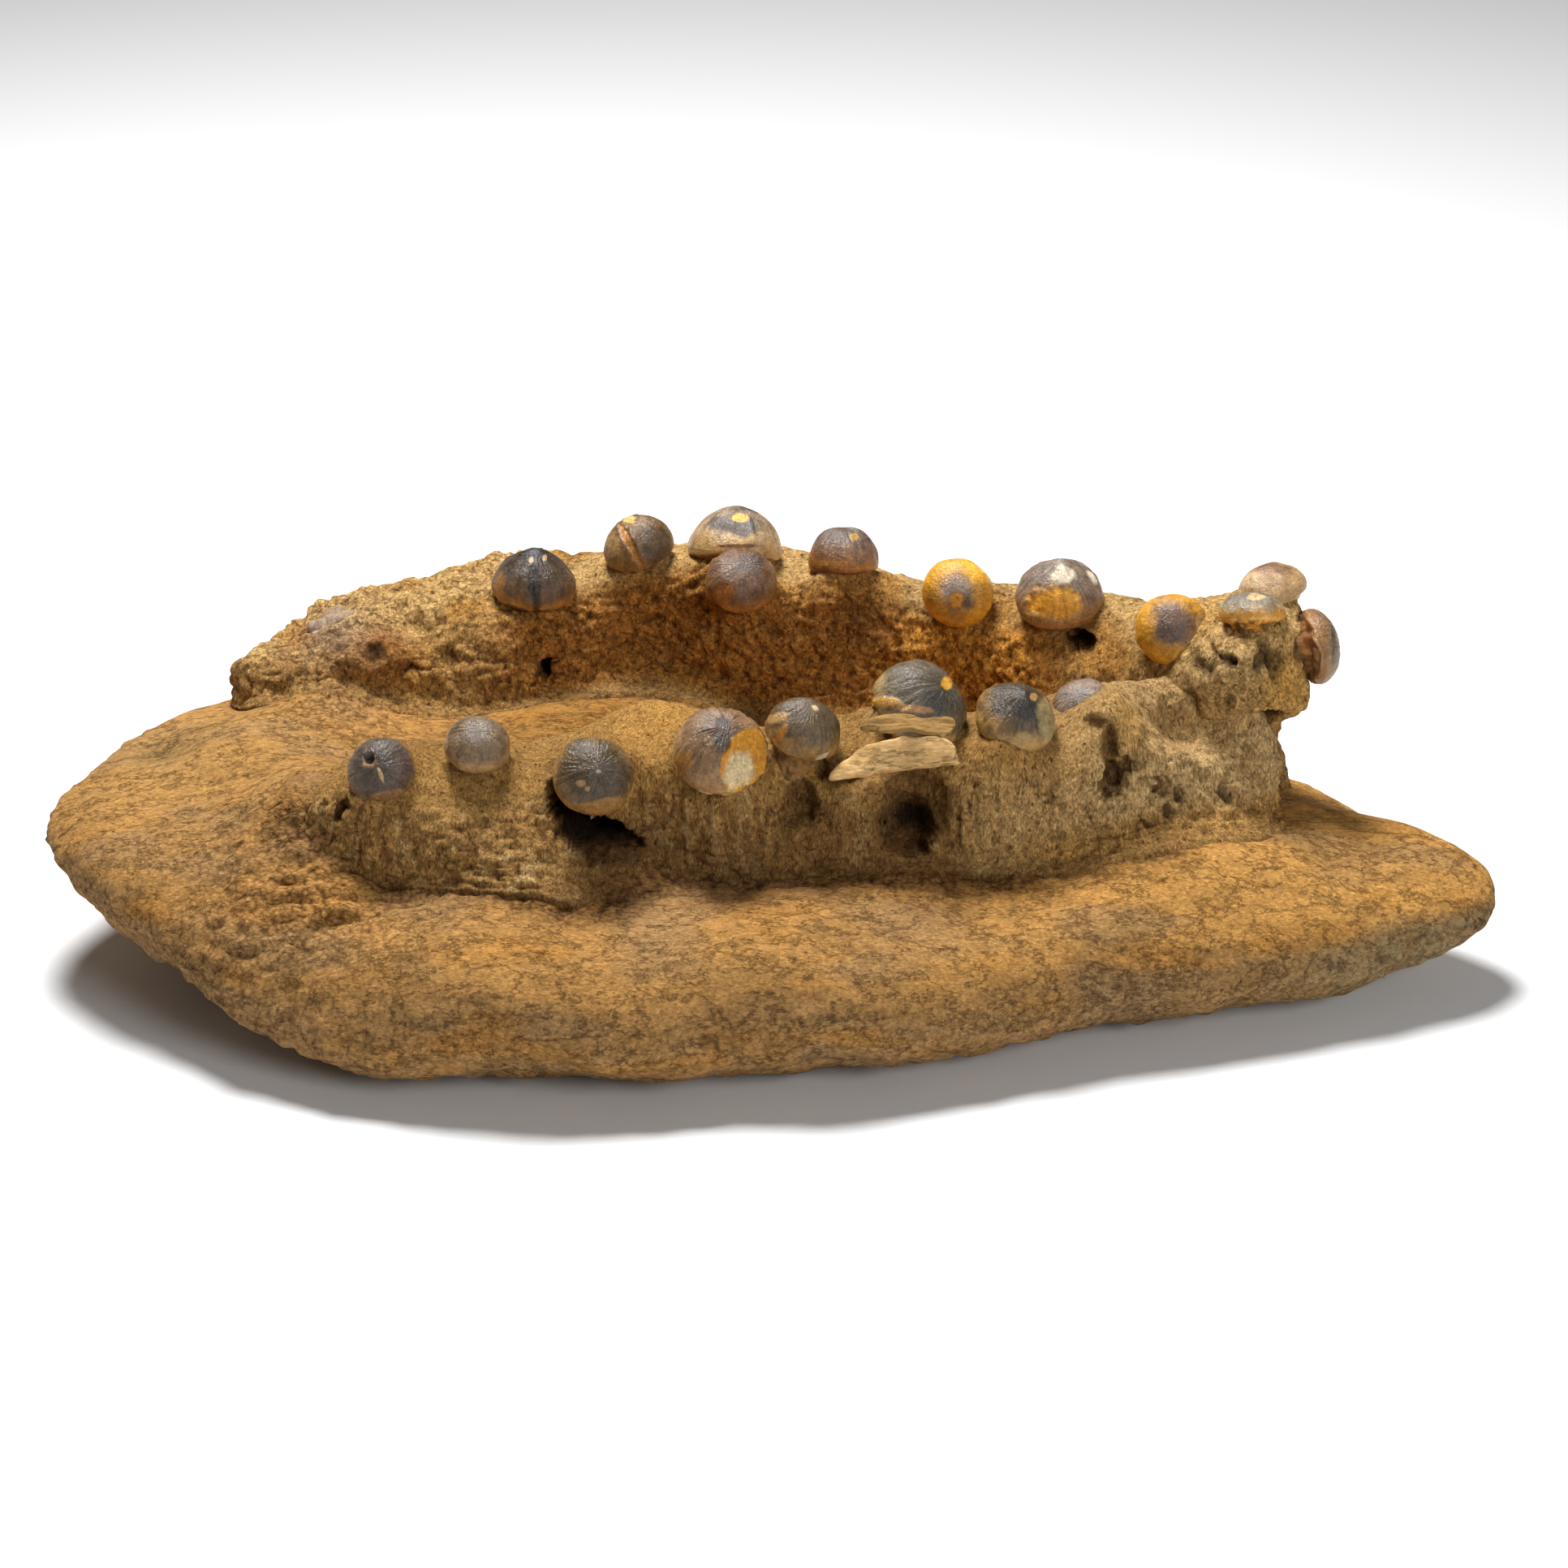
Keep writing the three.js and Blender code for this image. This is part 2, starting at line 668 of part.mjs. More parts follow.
function plateGeometry({ outline, thickness, at, lean }) {
  const shape = new THREE.Shape(outline.map(([x, y]) => new THREE.Vector2(x, y)));
  const plate = new THREE.ExtrudeGeometry(shape, { depth: thickness, bevelEnabled: false });
  return welded(plate.rotateX(Math.PI / 2 - degrees(lean)).translate(...at));
}

// ---- assembly ----

const fossil = new THREE.Group();
fossil.position.set(-MIDDLE[0], -MIDDLE[1], 0);

function add(name, geometry, color, roughness) {
  const material = new THREE.MeshStandardMaterial({ color, roughness, metalness: 0 });
  const mesh = new THREE.Mesh(geometry, material);
  mesh.name = name;
  fossil.add(mesh);
}

const cutterOf = (geometry) => solid(inflated(geometry, GAP));
const without = (body, cutters) => cutters.reduce((left, cutter) => left.subtract(cutter), solid(body));

const stone = stoneGeometry();
const crowns = Object.fromEntries(Object.entries(TEETH).map(([name, tooth]) => [name, toothGeometry(tooth)]));
const crownCutters = Object.values(crowns).map(cutterOf);
const splinter = plateGeometry(SPLINTER);
const flake = plateGeometry(FLAKE);
const bedded = [cutterOf(stone), ...crownCutters, cutterOf(splinter), cutterOf(flake)];
const farBone = boneGeometry(FAR_BONE, FAR_BLUNT, [...FAR_PUSHES, ...collars("far")], FAR_HOLLOWS);
const nearBone = boneGeometry(NEAR_BONE, NEAR_BLUNT, [...NEAR_PUSHES, ...collars("near")], NEAR_HOLLOWS);

add("matrix_slab", stone, 0xa07a48, 0.95);
add("far_jaw_bone", geometryOf(without(farBone, bedded)), 0xb08850, 0.95);
add("near_jaw_bone", geometryOf(without(nearBone, [...bedded, cutterOf(farBone)])), 0xa88452, 0.95);
add("bone_splinter", geometryOf(without(splinter, crownCutters)), 0xcbb489, 0.8);
add("bone_flake", geometryOf(without(flake, crownCutters)), 0xb79a6b, 0.8);
for (const [name, crown] of Object.entries(crowns)) {
  const hollows = (HOLLOWED_BY[name] ?? []).map((other) => cutterOf(crowns[other]));
  add(name, geometryOf(without(crown, hollows)), TEETH[name].color, 0.35);
}

export default fossil;
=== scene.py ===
import math

import bpy
import numpy as np
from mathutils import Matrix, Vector


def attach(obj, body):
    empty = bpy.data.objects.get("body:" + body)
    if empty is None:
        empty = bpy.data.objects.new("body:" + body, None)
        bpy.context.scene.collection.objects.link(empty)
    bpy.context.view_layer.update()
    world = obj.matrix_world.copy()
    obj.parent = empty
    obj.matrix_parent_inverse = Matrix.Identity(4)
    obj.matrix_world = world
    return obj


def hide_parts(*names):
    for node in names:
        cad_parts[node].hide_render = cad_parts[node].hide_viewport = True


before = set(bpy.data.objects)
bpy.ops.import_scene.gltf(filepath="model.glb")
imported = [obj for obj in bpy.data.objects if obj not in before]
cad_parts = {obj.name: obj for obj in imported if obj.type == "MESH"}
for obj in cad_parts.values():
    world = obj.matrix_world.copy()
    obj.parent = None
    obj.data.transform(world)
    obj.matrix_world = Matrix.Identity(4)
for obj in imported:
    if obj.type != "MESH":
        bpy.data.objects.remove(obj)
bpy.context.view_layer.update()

# ---- camera ----
# A long lens looking along +Y and 25 degrees down on the fossil, the usual way to record a
# specimen that lies on its stone.

VIEW_DOWN = math.radians(25)
VIEW_DISTANCE = 0.920
VIEW_TARGET = Vector((0.0026, -0.0155, 0.044))

camera_data = bpy.data.cameras.new("camera")
camera_data.lens = 90
camera_data.sensor_width = 36
camera = bpy.data.objects.new("camera", camera_data)
camera.location = VIEW_TARGET + VIEW_DISTANCE * Vector((0, -math.cos(VIEW_DOWN), math.sin(VIEW_DOWN)))
camera.rotation_euler = (math.pi / 2 - VIEW_DOWN, 0, 0)
bpy.context.scene.collection.objects.link(camera)
bpy.context.scene.camera = camera

# ---- the stone ----
# The matrix is a loaf of ochre sandstone, weathered smooth on its top shelf and rougher down its
# flanks, with the layers of its bedding showing at the nose. It lies on its worn belly.

MIDDLE = np.array([-0.6, 15.5, 0.0])  # plan centre of the fossil in the working frame, mm
SWELL, SWELL_FADE = 1.1, 12  # height of the weathered stone's slow swells, full from that far up, mm

# the widest line round the stone: x, y, height over the ground, from the left tip round the front
STONE_OUTLINE = [
    (-170, 2, 35), (-160, -27, 28), (-140, -43, 25), (-118, -61, 15), (-92, -76, 13), (-58, -81, 16),
    (-20, -80, 16), (20, -75, 15), (62, -62, 15), (104, -48, 16), (144, -35, 15), (164, -21, 17),
    (169, -7, 23), (160, 5, 25), (145, 14, 26), (127, 34, 27), (104, 63, 27), (62, 92, 27),
    (5, 109, 27), (-55, 113, 29), (-106, 98, 32), (-138, 66, 35), (-161, 32, 37),
]
STONE_TOP, STONE_FALL = 38, 0.036  # height of the top in the middle, and its fall to the snout
STONE_FRONT, STONE_DIP = -30, 0.05  # the line past which the front of the top falls, and how steeply
STONE_SHOULDER = 8  # how square the shoulders are
STONE_BELLY = 6  # how far the round belly would reach under the ground without its flat
BELLY_SIDE, BELLY_FLOOR = 2.6, 1.7  # how square the belly is at its side and below
STONE_ROUND = 720  # points round the stone: about 1.2 mm apart
TOP_RINGS, UNDER_RINGS = 88, 48  # rings from the middle of the top to the widest line, and back below
FOOT_LIMIT = 0.93  # how near the rim a bone's foot may come

# swells and hollows of the top: place, reach and way to go, mm
STONE_PUSHES = [
    ((-118, 22, 40), 34, (0, 0, 5)),  # shoulder at the back of the nose
    ((-147, 24, 40), 9, (0, 0, -4)),  # pit in the nose
    ((-92, -43, 38), 9, (0, 0, -3)),  # crevice at the foot of the near jaw
    ((-114, -52, 34), 10, (0, 0, 3)),  # fold of the layers beside it
    ((-108, 42, 44), 12, (0, 0, 4)),  # ledge under the far jaw's lobe
    ((-106, -20, 42), 19, (0, 0, 12)),  # ramp up to the near jaw's left end
    ((-55, 40, 42), 24, (0, 0, 3)),  # sand left between the jaws
    ((92, -24, 34), (36, 14, 20), (0, 0, 6)),  # sand banked up along the foot of the snout
    ((158, 12, 30), (16, 24, 20), (0, 0, 4)),  # swell of the right end
    ((132, 26, 34), (14, 18, 20), (0, 0, -2)),  # dip behind the snout
    ((122, -6, 34), (13, 14, 20), (0, 0, 4)),  # end of the bank
]
APRON = 5  # reach of the rubble along the near jaw's foot, and of the painted shade in the crease there, mm
# where the near jaw's front meets the top: x, y
NEAR_FOOT_LINE = [
    (-112, -30), (-101, -35), (-92, -38), (-79, -43), (-60, -50), (-44, -55), (-33, -45), (-18, -37),
    (1, -37), (27, -36), (50, -32), (64, -31), (90, -28),
]


def spline(points, t, closed=False):
    """Points on a smooth curve through the given ones: on each span a cubic whose slope at a
    given point is half the step between its two neighbours. t runs from 0 to 1."""
    points = np.asarray(points, float)
    count = len(points)
    if closed:
        points = np.concatenate([points[-1:], points, points[:2]])
    else:
        first, last = 2 * points[0] - points[1], 2 * points[-1] - points[-2]
        points = np.concatenate([first[None], points, last[None]])
        count -= 1
    along = np.clip(np.asarray(t, float), 0, 1) * count
    span = np.minimum(along.astype(int), count - 1)
    f = (along - span)[..., None]
    p0, p1, p2, p3 = (points[span + i] for i in range(4))
    s1, s2 = (p2 - p0) / 2, (p3 - p1) / 2
    return p1 + f * s1 + f**2 * (3 * (p2 - p1) - 2 * s1 - s2) + f**3 * (2 * (p1 - p2) + s1 + s2)


def near(points, at, reach):
    """A bell curve of the distance from a place over its reach, 1 at the place. The reach may
    differ along the axes."""
    return np.exp(-(((points - np.array(at, float)) / np.asarray(reach, float)) ** 2).sum(-1))


def pushed(points, pushes):
    """Each point moved by every push: its way to go times a bell curve of the distance from its
    place over its reach."""
    moved = points.copy()
    for at, reach, move in pushes:
        moved += near(points, at, reach)[..., None] * np.array(move, float)
    return moved


def weathered(points):
    """Points bent by slow sine waves, a few centimetres long, that fade out near the ground."""
    x, y, z = np.moveaxis(points, -1, 0)
    raised = SWELL * np.clip(z / SWELL_FADE, 0, 1)
    return points + np.stack([
        raised * np.sin(y / 11 + z / 7 + 1),
        raised * np.sin(x / 12 + z / 9),
        raised * np.sin(x / 10 + 1.6 * np.sin(y / 13)),
    ], -1)


rim_line = spline(STONE_OUTLINE, np.arange(STONE_ROUND) / STONE_ROUND, closed=True)
rim_line = rim_line[np.argsort(np.arctan2(rim_line[:, 1], rim_line[:, 0]))]
rim_bearing = np.arctan2(rim_line[:, 1], rim_line[:, 0])


def rim_at(x, y):
    """Radius and height of the widest line at the bearing of x, y from the stone's middle."""
    bearing = np.arctan2(y, x)
    radius = np.interp(bearing, rim_bearing, np.hypot(rim_line[:, 0], rim_line[:, 1]), period=2 * np.pi)
    return radius, np.interp(bearing, rim_bearing, rim_line[:, 2], period=2 * np.pi)


def stone_top(x, y):
    """Height of the top: a flat that falls towards the snout, rounded down to the widest line as
    a superellipse, with the pushes laid on it."""
    radius, height = rim_at(x, y)
    out = np.minimum(1, np.hypot(x, y) / radius)
    crown = np.sqrt(1 - out**STONE_SHOULDER)
    flat = STONE_TOP - STONE_FALL * x - STONE_DIP * np.maximum(0, STONE_FRONT - y)
    base = height + (flat - height) * crown
    lifted = pushed(np.stack([x, y, base], -1), STONE_PUSHES)[..., 2]
    return base + (lifted - base) * crown


def stone_under(x, y):
    """Height of the belly: a superellipse below the widest line, cut flat where it would go
    under the ground."""
    radius, height = rim_at(x, y)
    out = np.minimum(1, np.hypot(x, y) / radius)
    depth = (1 - out**BELLY_SIDE) ** (1 / BELLY_FLOOR)
    return np.maximum(0, height - (height + STONE_BELLY) * depth)


def noise(points, size, seed):
    """Smooth noise from -1 to 1: a random value at each corner of a grid of cells of that size,
    which may differ along the axes, blended inside each cell by a fifth-degree ease."""
    cell = points / np.asarray(size, float)
    low = np.floor(cell).astype(np.int64)
    f = cell - low
    ease = f**3 * (f * (f * 6 - 15) + 10)
    total = np.zeros(points.shape[:-1])
    for corner in np.ndindex(2, 2, 2):
        at = low + corner
        mixed = (at[..., 0] * 73856093) ^ (at[..., 1] * 19349663) ^ (at[..., 2] * 83492791)
        mixed ^= seed * 2654435761
        mixed = ((mixed ^ (mixed >> 13)) * 1274126177) & 0xFFFFFFFF
        value = ((mixed ^ (mixed >> 16)) & 0xFFFF) / 32767.5 - 1
        total += np.where(np.array(corner) == 1, ease, 1 - ease).prod(-1) * value
    return total


def clumps(points, size, seed):
    """Rounded clumps with sharp creases between them, from about -0.5 to 1: the size of the
    noise without its sign, so that each zero of the noise is a crease."""
    return 2.2 * np.abs(noise(points, size, seed)) - 0.5


def grains(points, size, seed):
    """Distance to the nearest of a set of scattered grains, one in each cell of that size, as a
    share of the size: 0 in the middle of a grain and about 1 in the gaps between them."""
    cell = points / size
    low = np.floor(cell).astype(np.int64)
    nearest = np.full(points.shape[:-1], 9.0)
    for step in np.ndindex(3, 3, 3):
        at = low + np.array(step) - 1
        gap = np.zeros(points.shape[:-1])
        for axis, prime in enumerate((668265263, 374761393, 2246822519)):
            mixed = (at[..., 0] * prime) ^ (at[..., 1] * 1103515245) ^ (at[..., 2] * 83492791)
            mixed ^= seed * 97 + axis
            mixed = ((mixed ^ (mixed >> 15)) * 2246822519) & 0xFFFFFFFF
            gap += (at[..., axis] + ((mixed ^ (mixed >> 13)) & 0xFFFF) / 65535.0 - cell[..., axis]) ** 2
        nearest = np.minimum(nearest, gap)
    return np.sqrt(nearest)


def eased(value, low, high):
    """0 below low, 1 above high, and an S-curve between. Where low is above high, it falls."""
    f = np.clip((value - low) / (high - low), 0, 1)
    return f * f * (3 - 2 * f)


def grid_normals(rings):
    """Outward unit normals of a grid of closed rings: the cross product of the steps round the
    ring and from ring to ring."""
    around = np.roll(rings, -1, 1) - np.roll(rings, 1, 1)
    across = np.gradient(rings, axis=0)
    normal = np.cross(around, across)
    return normal / np.maximum(1e-9, np.linalg.norm(normal, axis=-1, keepdims=True))


def colour(hex_code):
    """An sRGB hex colour as the linear red, green, blue and alpha that a shader takes."""
    srgb = np.array([int(hex_code[i:i + 2], 16) for i in (1, 3, 5)]) / 255
    linear = np.where(srgb <= 0.04045, srgb / 12.92, ((srgb + 0.055) / 1.055) ** 2.4)
    return (*linear, 1.0)


def stained(stain, layers):
    """The stain with each layer laid over it in turn: a mask, which says how strongly the layer
    covers at each point, and its colour. The stain may start as one colour."""
    for mask, hex_code in layers:
        mask = np.clip(mask, 0, 1)[..., None]
        stain = np.array(stain) * (1 - mask) + np.array(colour(hex_code)) * mask
    return stain


def ring_piece(name, rings, stain, masks):
    """A closed surface from a grid of rings in mm, whose first and last rings are points. The
    stain is its colour at each point of the grid, and masks are further named values."""
    count, around = rings.shape[:2]
    kept = lambda grid: np.concatenate([grid[0, :1], grid[1:-1].reshape(-1, *grid.shape[2:]), grid[-1, :1]])
    points = kept(rings)
    index = 1 + np.arange((count - 2) * around).reshape(count - 2, around)
    beside = np.roll(index, -1, 1)
    quads = np.stack([index[:-1], beside[:-1], beside[1:], index[1:]], -1).reshape(-1, 4)
    start = np.stack([np.zeros(around, int), beside[0], index[0]], -1)
    end = np.stack([index[-1], beside[-1], np.full(around, len(points) - 1)], -1)
    mesh = bpy.data.meshes.new(name)
    mesh.from_pydata((points - MIDDLE) / 1000, [], [*start.tolist(), *quads.tolist(), *end.tolist()])
    mesh.polygons.foreach_set("use_smooth", np.ones(len(mesh.polygons), bool))
    shades = np.clip(kept(stain), 0, 1).astype(np.float32)
    mesh.attributes.new("stain", "FLOAT_COLOR", "POINT").data.foreach_set("color", shades.ravel())
    for mask, values in masks.items():
        mesh.attributes.new(mask, "FLOAT", "POINT").data.foreach_set("value", kept(values).astype(np.float32))
    piece = bpy.data.objects.new(name, mesh)
    bpy.context.scene.collection.objects.link(piece)
    return piece


def add_node(material, kind, output, inputs=None, stops=None, **settings):
    """Adds a shader node, sets its properties, fills its inputs with values or links from other
    nodes' outputs, and sets the stops of a colour ramp: place and red, green and blue. Returns the
    output that is asked for."""
    new = material.node_tree.nodes.new("ShaderNode" + kind)
    for key, value in settings.items():
        setattr(new, key, value)
    for key, value in (inputs or {}).items():
        if isinstance(value, bpy.types.NodeSocket):
            material.node_tree.links.new(value, new.inputs[key])
        else:
            new.inputs[key].default_value = value
    for i, (place, shade) in enumerate(stops or []):
        stop = new.color_ramp.elements[i] if i < 2 else new.color_ramp.elements.new(place)
        stop.position, stop.color = place, (*shade, 1)
    return None if output is None else new.outputs[output]


def open_material(name):
    """A material without nodes, and the function that adds nodes to it."""
    material = bpy.data.materials.new(name)
    material.use_nodes = True
    material.node_tree.nodes.clear()
    return material, lambda *args, **more: add_node(material, *args, **more)


def rock_material(name, streak, grit):
    """Sandstone and its crust: the stain of the surface, broken up by cloudy mottling a few
    millimetres across, single grains of pale quartz and dark ore, pores, and thin branching
    cracks. Where the rough mask is high, grains of cemented sand about 1.5 mm across stand up with
    painted shade in the gaps between them. The fine grains are drawn about 0.7 mm across, so that they
    just show. All of it is matt. streak stretches the grain, and grit is how strong it is."""
    material, add = open_material(name)
    place = add("TexCoord", "Object")
    drawn = add("Mapping", "Vector", {"Vector": place, "Scale": streak})
    stain = add("Attribute", "Color", attribute_name="stain")
    rough = add("Attribute", "Fac", attribute_name="rough")
    mottle, speck, pores, crack = (
        add("TexNoise", "Fac", {
            "Vector": drawn, "Scale": scale, "Detail": detail, "Roughness": roughness})
        for scale, detail, roughness in ((330, 7, 0.8), (2000, 2, 0.6), (640, 3, 0.6), (130, 7, 0.7)))
    quartz = add("TexVoronoi", "Color", {"Vector": drawn, "Scale": 2000, "Randomness": 1})
    bent = add("TexNoise", "Color", {"Vector": place, "Scale": 500, "Detail": 1})
    shift = add("VectorMath", 0, {0: bent, 1: (0.0014,) * 3, 2: place}, operation="MULTIPLY_ADD")
    sand = add("TexVoronoi", "Distance", {"Vector": shift, "Scale": 640, "Randomness": 1})

    tone = stain
    for share, value, stops in (
        (grit, mottle, [  # cloudy mottling
            (0.32, (0.9, 0.84, 0.75)), (0.5, (1.26, 1.25, 1.22)), (0.68, (1.6, 1.58, 1.52))]),
        (0.8 * grit, speck, [  # dark and pale specks
            (0.32, (0.5, 0.43, 0.36)), (0.46, (1, 1, 1)), (0.58, (1, 1, 1)),
            (0.72, (1.7, 1.65, 1.5))]),
        (0.4 * grit, quartz, [  # single grains
            (0.25, (0.5, 0.42, 0.34)), (0.5, (1, 0.98, 0.95)), (0.75, (1.65, 1.6, 1.5))]),
        (rough, sand, [(0.45, (1.1, 1.08, 1.05)), (0.85, (0.30, 0.22, 0.14))]),  # sand crust, with painted shade in the gaps between its grains
        (0.8 * grit, pores, [(0.34, (0.3, 0.22, 0.15)), (0.41, (1, 1, 1))]),  # open pores
        (0.7 * grit, crack, [  # branching cracks
            (0.48, (1, 1, 1)), (0.5, (0.45, 0.36, 0.27)), (0.52, (1, 1, 1))]),
    ):
        ramp = add("ValToRGB", "Color", {"Fac": value}, stops=stops)
        tone = add("Mix", 2, {0: share, 6: tone, 7: ramp}, data_type="RGBA", blend_type="MULTIPLY")
    cracks = ramp

    normal = {}
    for height, strength, metres, sunk in (
        (speck, 0.9 * grit, 0.0005, False), (mottle, grit, 0.0022, False),
        (cracks, 0.8, 0.0006, False), (sand, rough, 0.0009, True),
    ):
        normal = {"Normal": add("Bump", "Normal", {
            "Height": height, "Strength": strength, "Distance": metres, **normal}, invert=sunk)}
    surface = add("BsdfPrincipled", "BSDF", {
        "Base Color": tone, "Roughness": 0.93, "Specular IOR Level": 0.2, **normal})
    add("OutputMaterial", None, {"Surface": surface})
    return material


# shares of the way out to the widest line, over the top and back under the belly
outs = np.concatenate([
    np.sin(np.linspace(0, np.pi / 2, TOP_RINGS)) ** 0.9,
    np.sin(np.linspace(np.pi / 2, 0, UNDER_RINGS))[1:] ** 0.9,
])
outline = spline(STONE_OUTLINE, 1 - np.arange(STONE_ROUND) / STONE_ROUND, closed=True)
stone_x, stone_y = (outs[:, None] * outline[None, :, axis] for axis in (0, 1))
is_top = (np.arange(len(outs)) < TOP_RINGS)[:, None]
stone_z = np.where(is_top, stone_top(stone_x, stone_y), stone_under(stone_x, stone_y))
stone = weathered(np.stack([stone_x, stone_y, stone_z], -1))

normals = grid_normals(stone)
normals[0], normals[-1] = (0, 0, 1), (0, 0, -1)
flank = 1 - eased(normals[..., 2], 0.15, 0.75)
nose = near(stone, (-135, -18, 34), 50)
shelf = (1 - flank) * (1 - nose)
foot = spline(NEAR_FOOT_LINE, np.linspace(0, 1, 90))
to_foot = np.sqrt(np.min([(stone[..., 0] - x) ** 2 + (stone[..., 1] - y) ** 2 for x, y in foot], 0))
apron = np.exp(-(to_foot / APRON) ** 2) * is_top
folds = near(stone, (-104, -52, 36), (22, 14, 20))
ledge = near(stone, (-108, 40, 46), 16)
rubble = np.clip(apron + folds + ledge + 0.5 * near(stone, (-118, -30, 40), 22), 0, 1)
relief = 0.5 * noise(stone, 16, 1) + 0.3 * noise(stone, 7, 2) + 0.14 * noise(stone, (7, 1.8, 1.8), 3)
relief += (1 - shelf) * (0.25 * clumps(stone, 3.2, 4) + 0.35 * noise(stone, (9, 3, 3), 15))
relief += flank * (0.9 * noise(stone, 12, 5) + 0.5 * clumps(stone, 5.5, 6))
# the layers of the bedding at the nose: worn steps along a slanted direction, broken in places
layer = (stone @ np.array([0.05, 0.07, 0.24]) + 1.3 * noise(stone, 24, 7) + 0.3 * noise(stone, 9, 16)) % 1
layered = nose * eased(noise(stone, 18, 17), -0.5, 0.3)
relief += layered * 1.1 * (0.4 + 0.6 * flank) * (layer**3 - 0.25)
relief += rubble * (0.8 * clumps(stone, (6, 3.5, 3), 8) + 0.5 * clumps(stone, 2.6, 9)) - 0.5 * apron
relief += folds * 1.1 * clumps(stone, (12, 4, 3), 18)
standing = eased(stone[..., 2], 0.3, 3)
stone += normals * (relief * standing)[..., None]
stone[..., 2] = np.maximum(stone[..., 2], 0)

# gold-brown on top, greyer and darker down the flanks, olive at the right end, rust in patches
streaks = noise(stone, (30, 10, 6), 12) + 0.4 * noise(stone, (10, 4, 3), 13)
stain = stained(colour("#ab8048"), [
    (0.6 * eased(stone[..., 0], 20, 80) * shelf, "#c4924c"),
    (0.9 * flank, "#99784f"),
    (0.7 * near(stone, (150, -32, 20), 34) * flank, "#857a5c"),
    (0.55 * eased(streaks, 0.15, 0.9), "#ad7a36"),
    (0.4 * eased(noise(stone, (9, 4, 3), 19), 0.2, 0.8), "#8a6a3c"),
    (0.45 * eased(noise(stone, (26, 12, 8), 14), 0.1, 0.7), "#8a7254"),
    # painted shade in the low spots of the relief
    (0.45 * eased(-relief, 0.25, 1.3), "#644a2a"),
    # rubble along the near jaw's foot, darkened with painted shade in the crease
    (0.7 * apron, "#6b4d2a"),
    # painted shade in the pit in the nose
    (0.8 * near(stone, (-147, 24, 40), 7), "#54432c"),
    # darker orange-brown in the trough between the jaws
    (0.85 * near(stone, (-40, 30, 42), 40), "#8f6428"),
    (0.5 * near(stone, (-140, 20, 42), 30), "#a8834c"),
])

rough = np.clip(0.12 + 0.35 * flank + 0.75 * rubble, 0, 1)
slab = ring_piece("sandstone_matrix", stone, stain, {"rough": rough})
slab.data.materials.append(rock_material("weathered sandstone", (0.55, 1, 1), 0.66))
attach(slab, "root")
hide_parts("matrix_slab")

# ---- the jaw bones ----
# Two petrified jaw bones, each a tall ridge under a crust of cemented sand. The far one runs from
# its broken lobe to the snout, and the near one leans against it there. Both grow out of the stone.

# a section: across in half-widths, towards the side that the teeth lean to, and share of the height
BONE_SECTION = [
    (-1.36, -0.22), (-1.27, 0), (-1.13, 0.13), (-1.02, 0.42), (-0.9, 0.76), (-0.6, 0.98), (-0.2, 1),
    (0.25, 0.95), (0.62, 0.85), (0.86, 0.66), (0.97, 0.38), (1.08, 0.16), (1.3, 0.04), (1.5, 0),
    (1.6, -0.22),
]
BONE_ALONG, BONE_AROUND = 460, 215  # points along and round a bone: about 0.6 mm apart
END_TIP, END_SIDE = 3.2, 2.2  # how square a bone's end is at its tip and where it leaves the side
END_RISE = 0.6  # an end's height draws in as this power of its width
END_DEPTH = 4  # how far under the stone's top the point of an end lies
# stations along each bone: x, y, height of the crest, half-width, and how far the sand at the
# foot of the tooth side spreads
FAR_BONE = [
    (-136, 60, 53, 14, 1), (-121, 64, 55, 17, 1), (-104, 69, 58.5, 19, 1), (-80, 76, 64, 20, 1),
    (-52, 81, 65, 20, 1), (-20, 81, 69.5, 18.5, 1), (12, 75, 66.5, 16.5, 1), (38, 67, 65, 16, 1),
    (60, 56, 68.5, 16, 1), (82, 40, 69.5, 16, 1), (102, 24, 80, 17, 1), (120, 12, 81, 16, 1),
]
NEAR_BONE = [
    (-108, -19, 51, 10, 0.4), (-98, -21, 57, 14, 0.4), (-86, -22, 61, 16, 0.4), (-60, -22, 60.5, 17, 0.4),
    (-38, -19, 62.5, 18, 0.4), (-18, -17, 65, 16.5, 0.3), (6, -16, 62, 16, 0.3), (34, -14, 65, 15.5, 0.3),
    (60, -10, 65, 16.5, 0.8), (84, -2, 65.5, 17, 1.2), (102, 8, 67, 17, 1.3), (115, 14, 67, 14, 1.3),
]
FAR_PUSHES = [
    ((-126, 54, 54), 9, (-2, -3, 2)),  # rounded left lobe
    ((-101, 56, 52), 7, (3, -5, 1)),  # crust at the lobe's foot
    ((-90, 62, 60), 7, (0, 2, -5)),  # step down behind the lobe
    ((-72, 60, 50), 13, (0, -7, 0)),  # sand sloping to the trough
    ((-30, 62, 50), 17, (0, 7, 0)),  # long hollow of the wall
    ((21, 63, 60), 7, (0, 4, 0)),  # smooth hollow under the fifth tooth
    ((126, 10, 43), (14, 16, 12), (-9, 1, 0)),  # hollowed end of the snout
    ((118, 7, 60.5), (8, 10, 5.5), (10, -1, 0)),  # lip over the hollow
    ((104, 6, 70), (14, 9, 9), (0, -4, 0)),  # face of the snout
    ((-9, 66, 58), (13, 10, 10), (0, -4, 6)),  # shoulder of crust under the fourth tooth
    ((17, 65, 61), (12, 9, 9), (0, -4, 6.5)),  # boss under the fifth
    ((110, 5, 71), (8, 7, 7), (0, -3, 6)),  # boss under the ninth
    ((115, 24, 72), 9, (0, 1, 6)),  # boss under the tenth
    ((121, 12, 70), (8, 8, 6), (4, 0, 0)),  # boss under the last
    ((44.5, 62, 70), (8, 7, 8), (0, -2, 9)),  # crust up the back of the sixth
    ((94, 30, 70), (7, 7, 7), (0, -1, 6)),  # up the back of the eighth
]
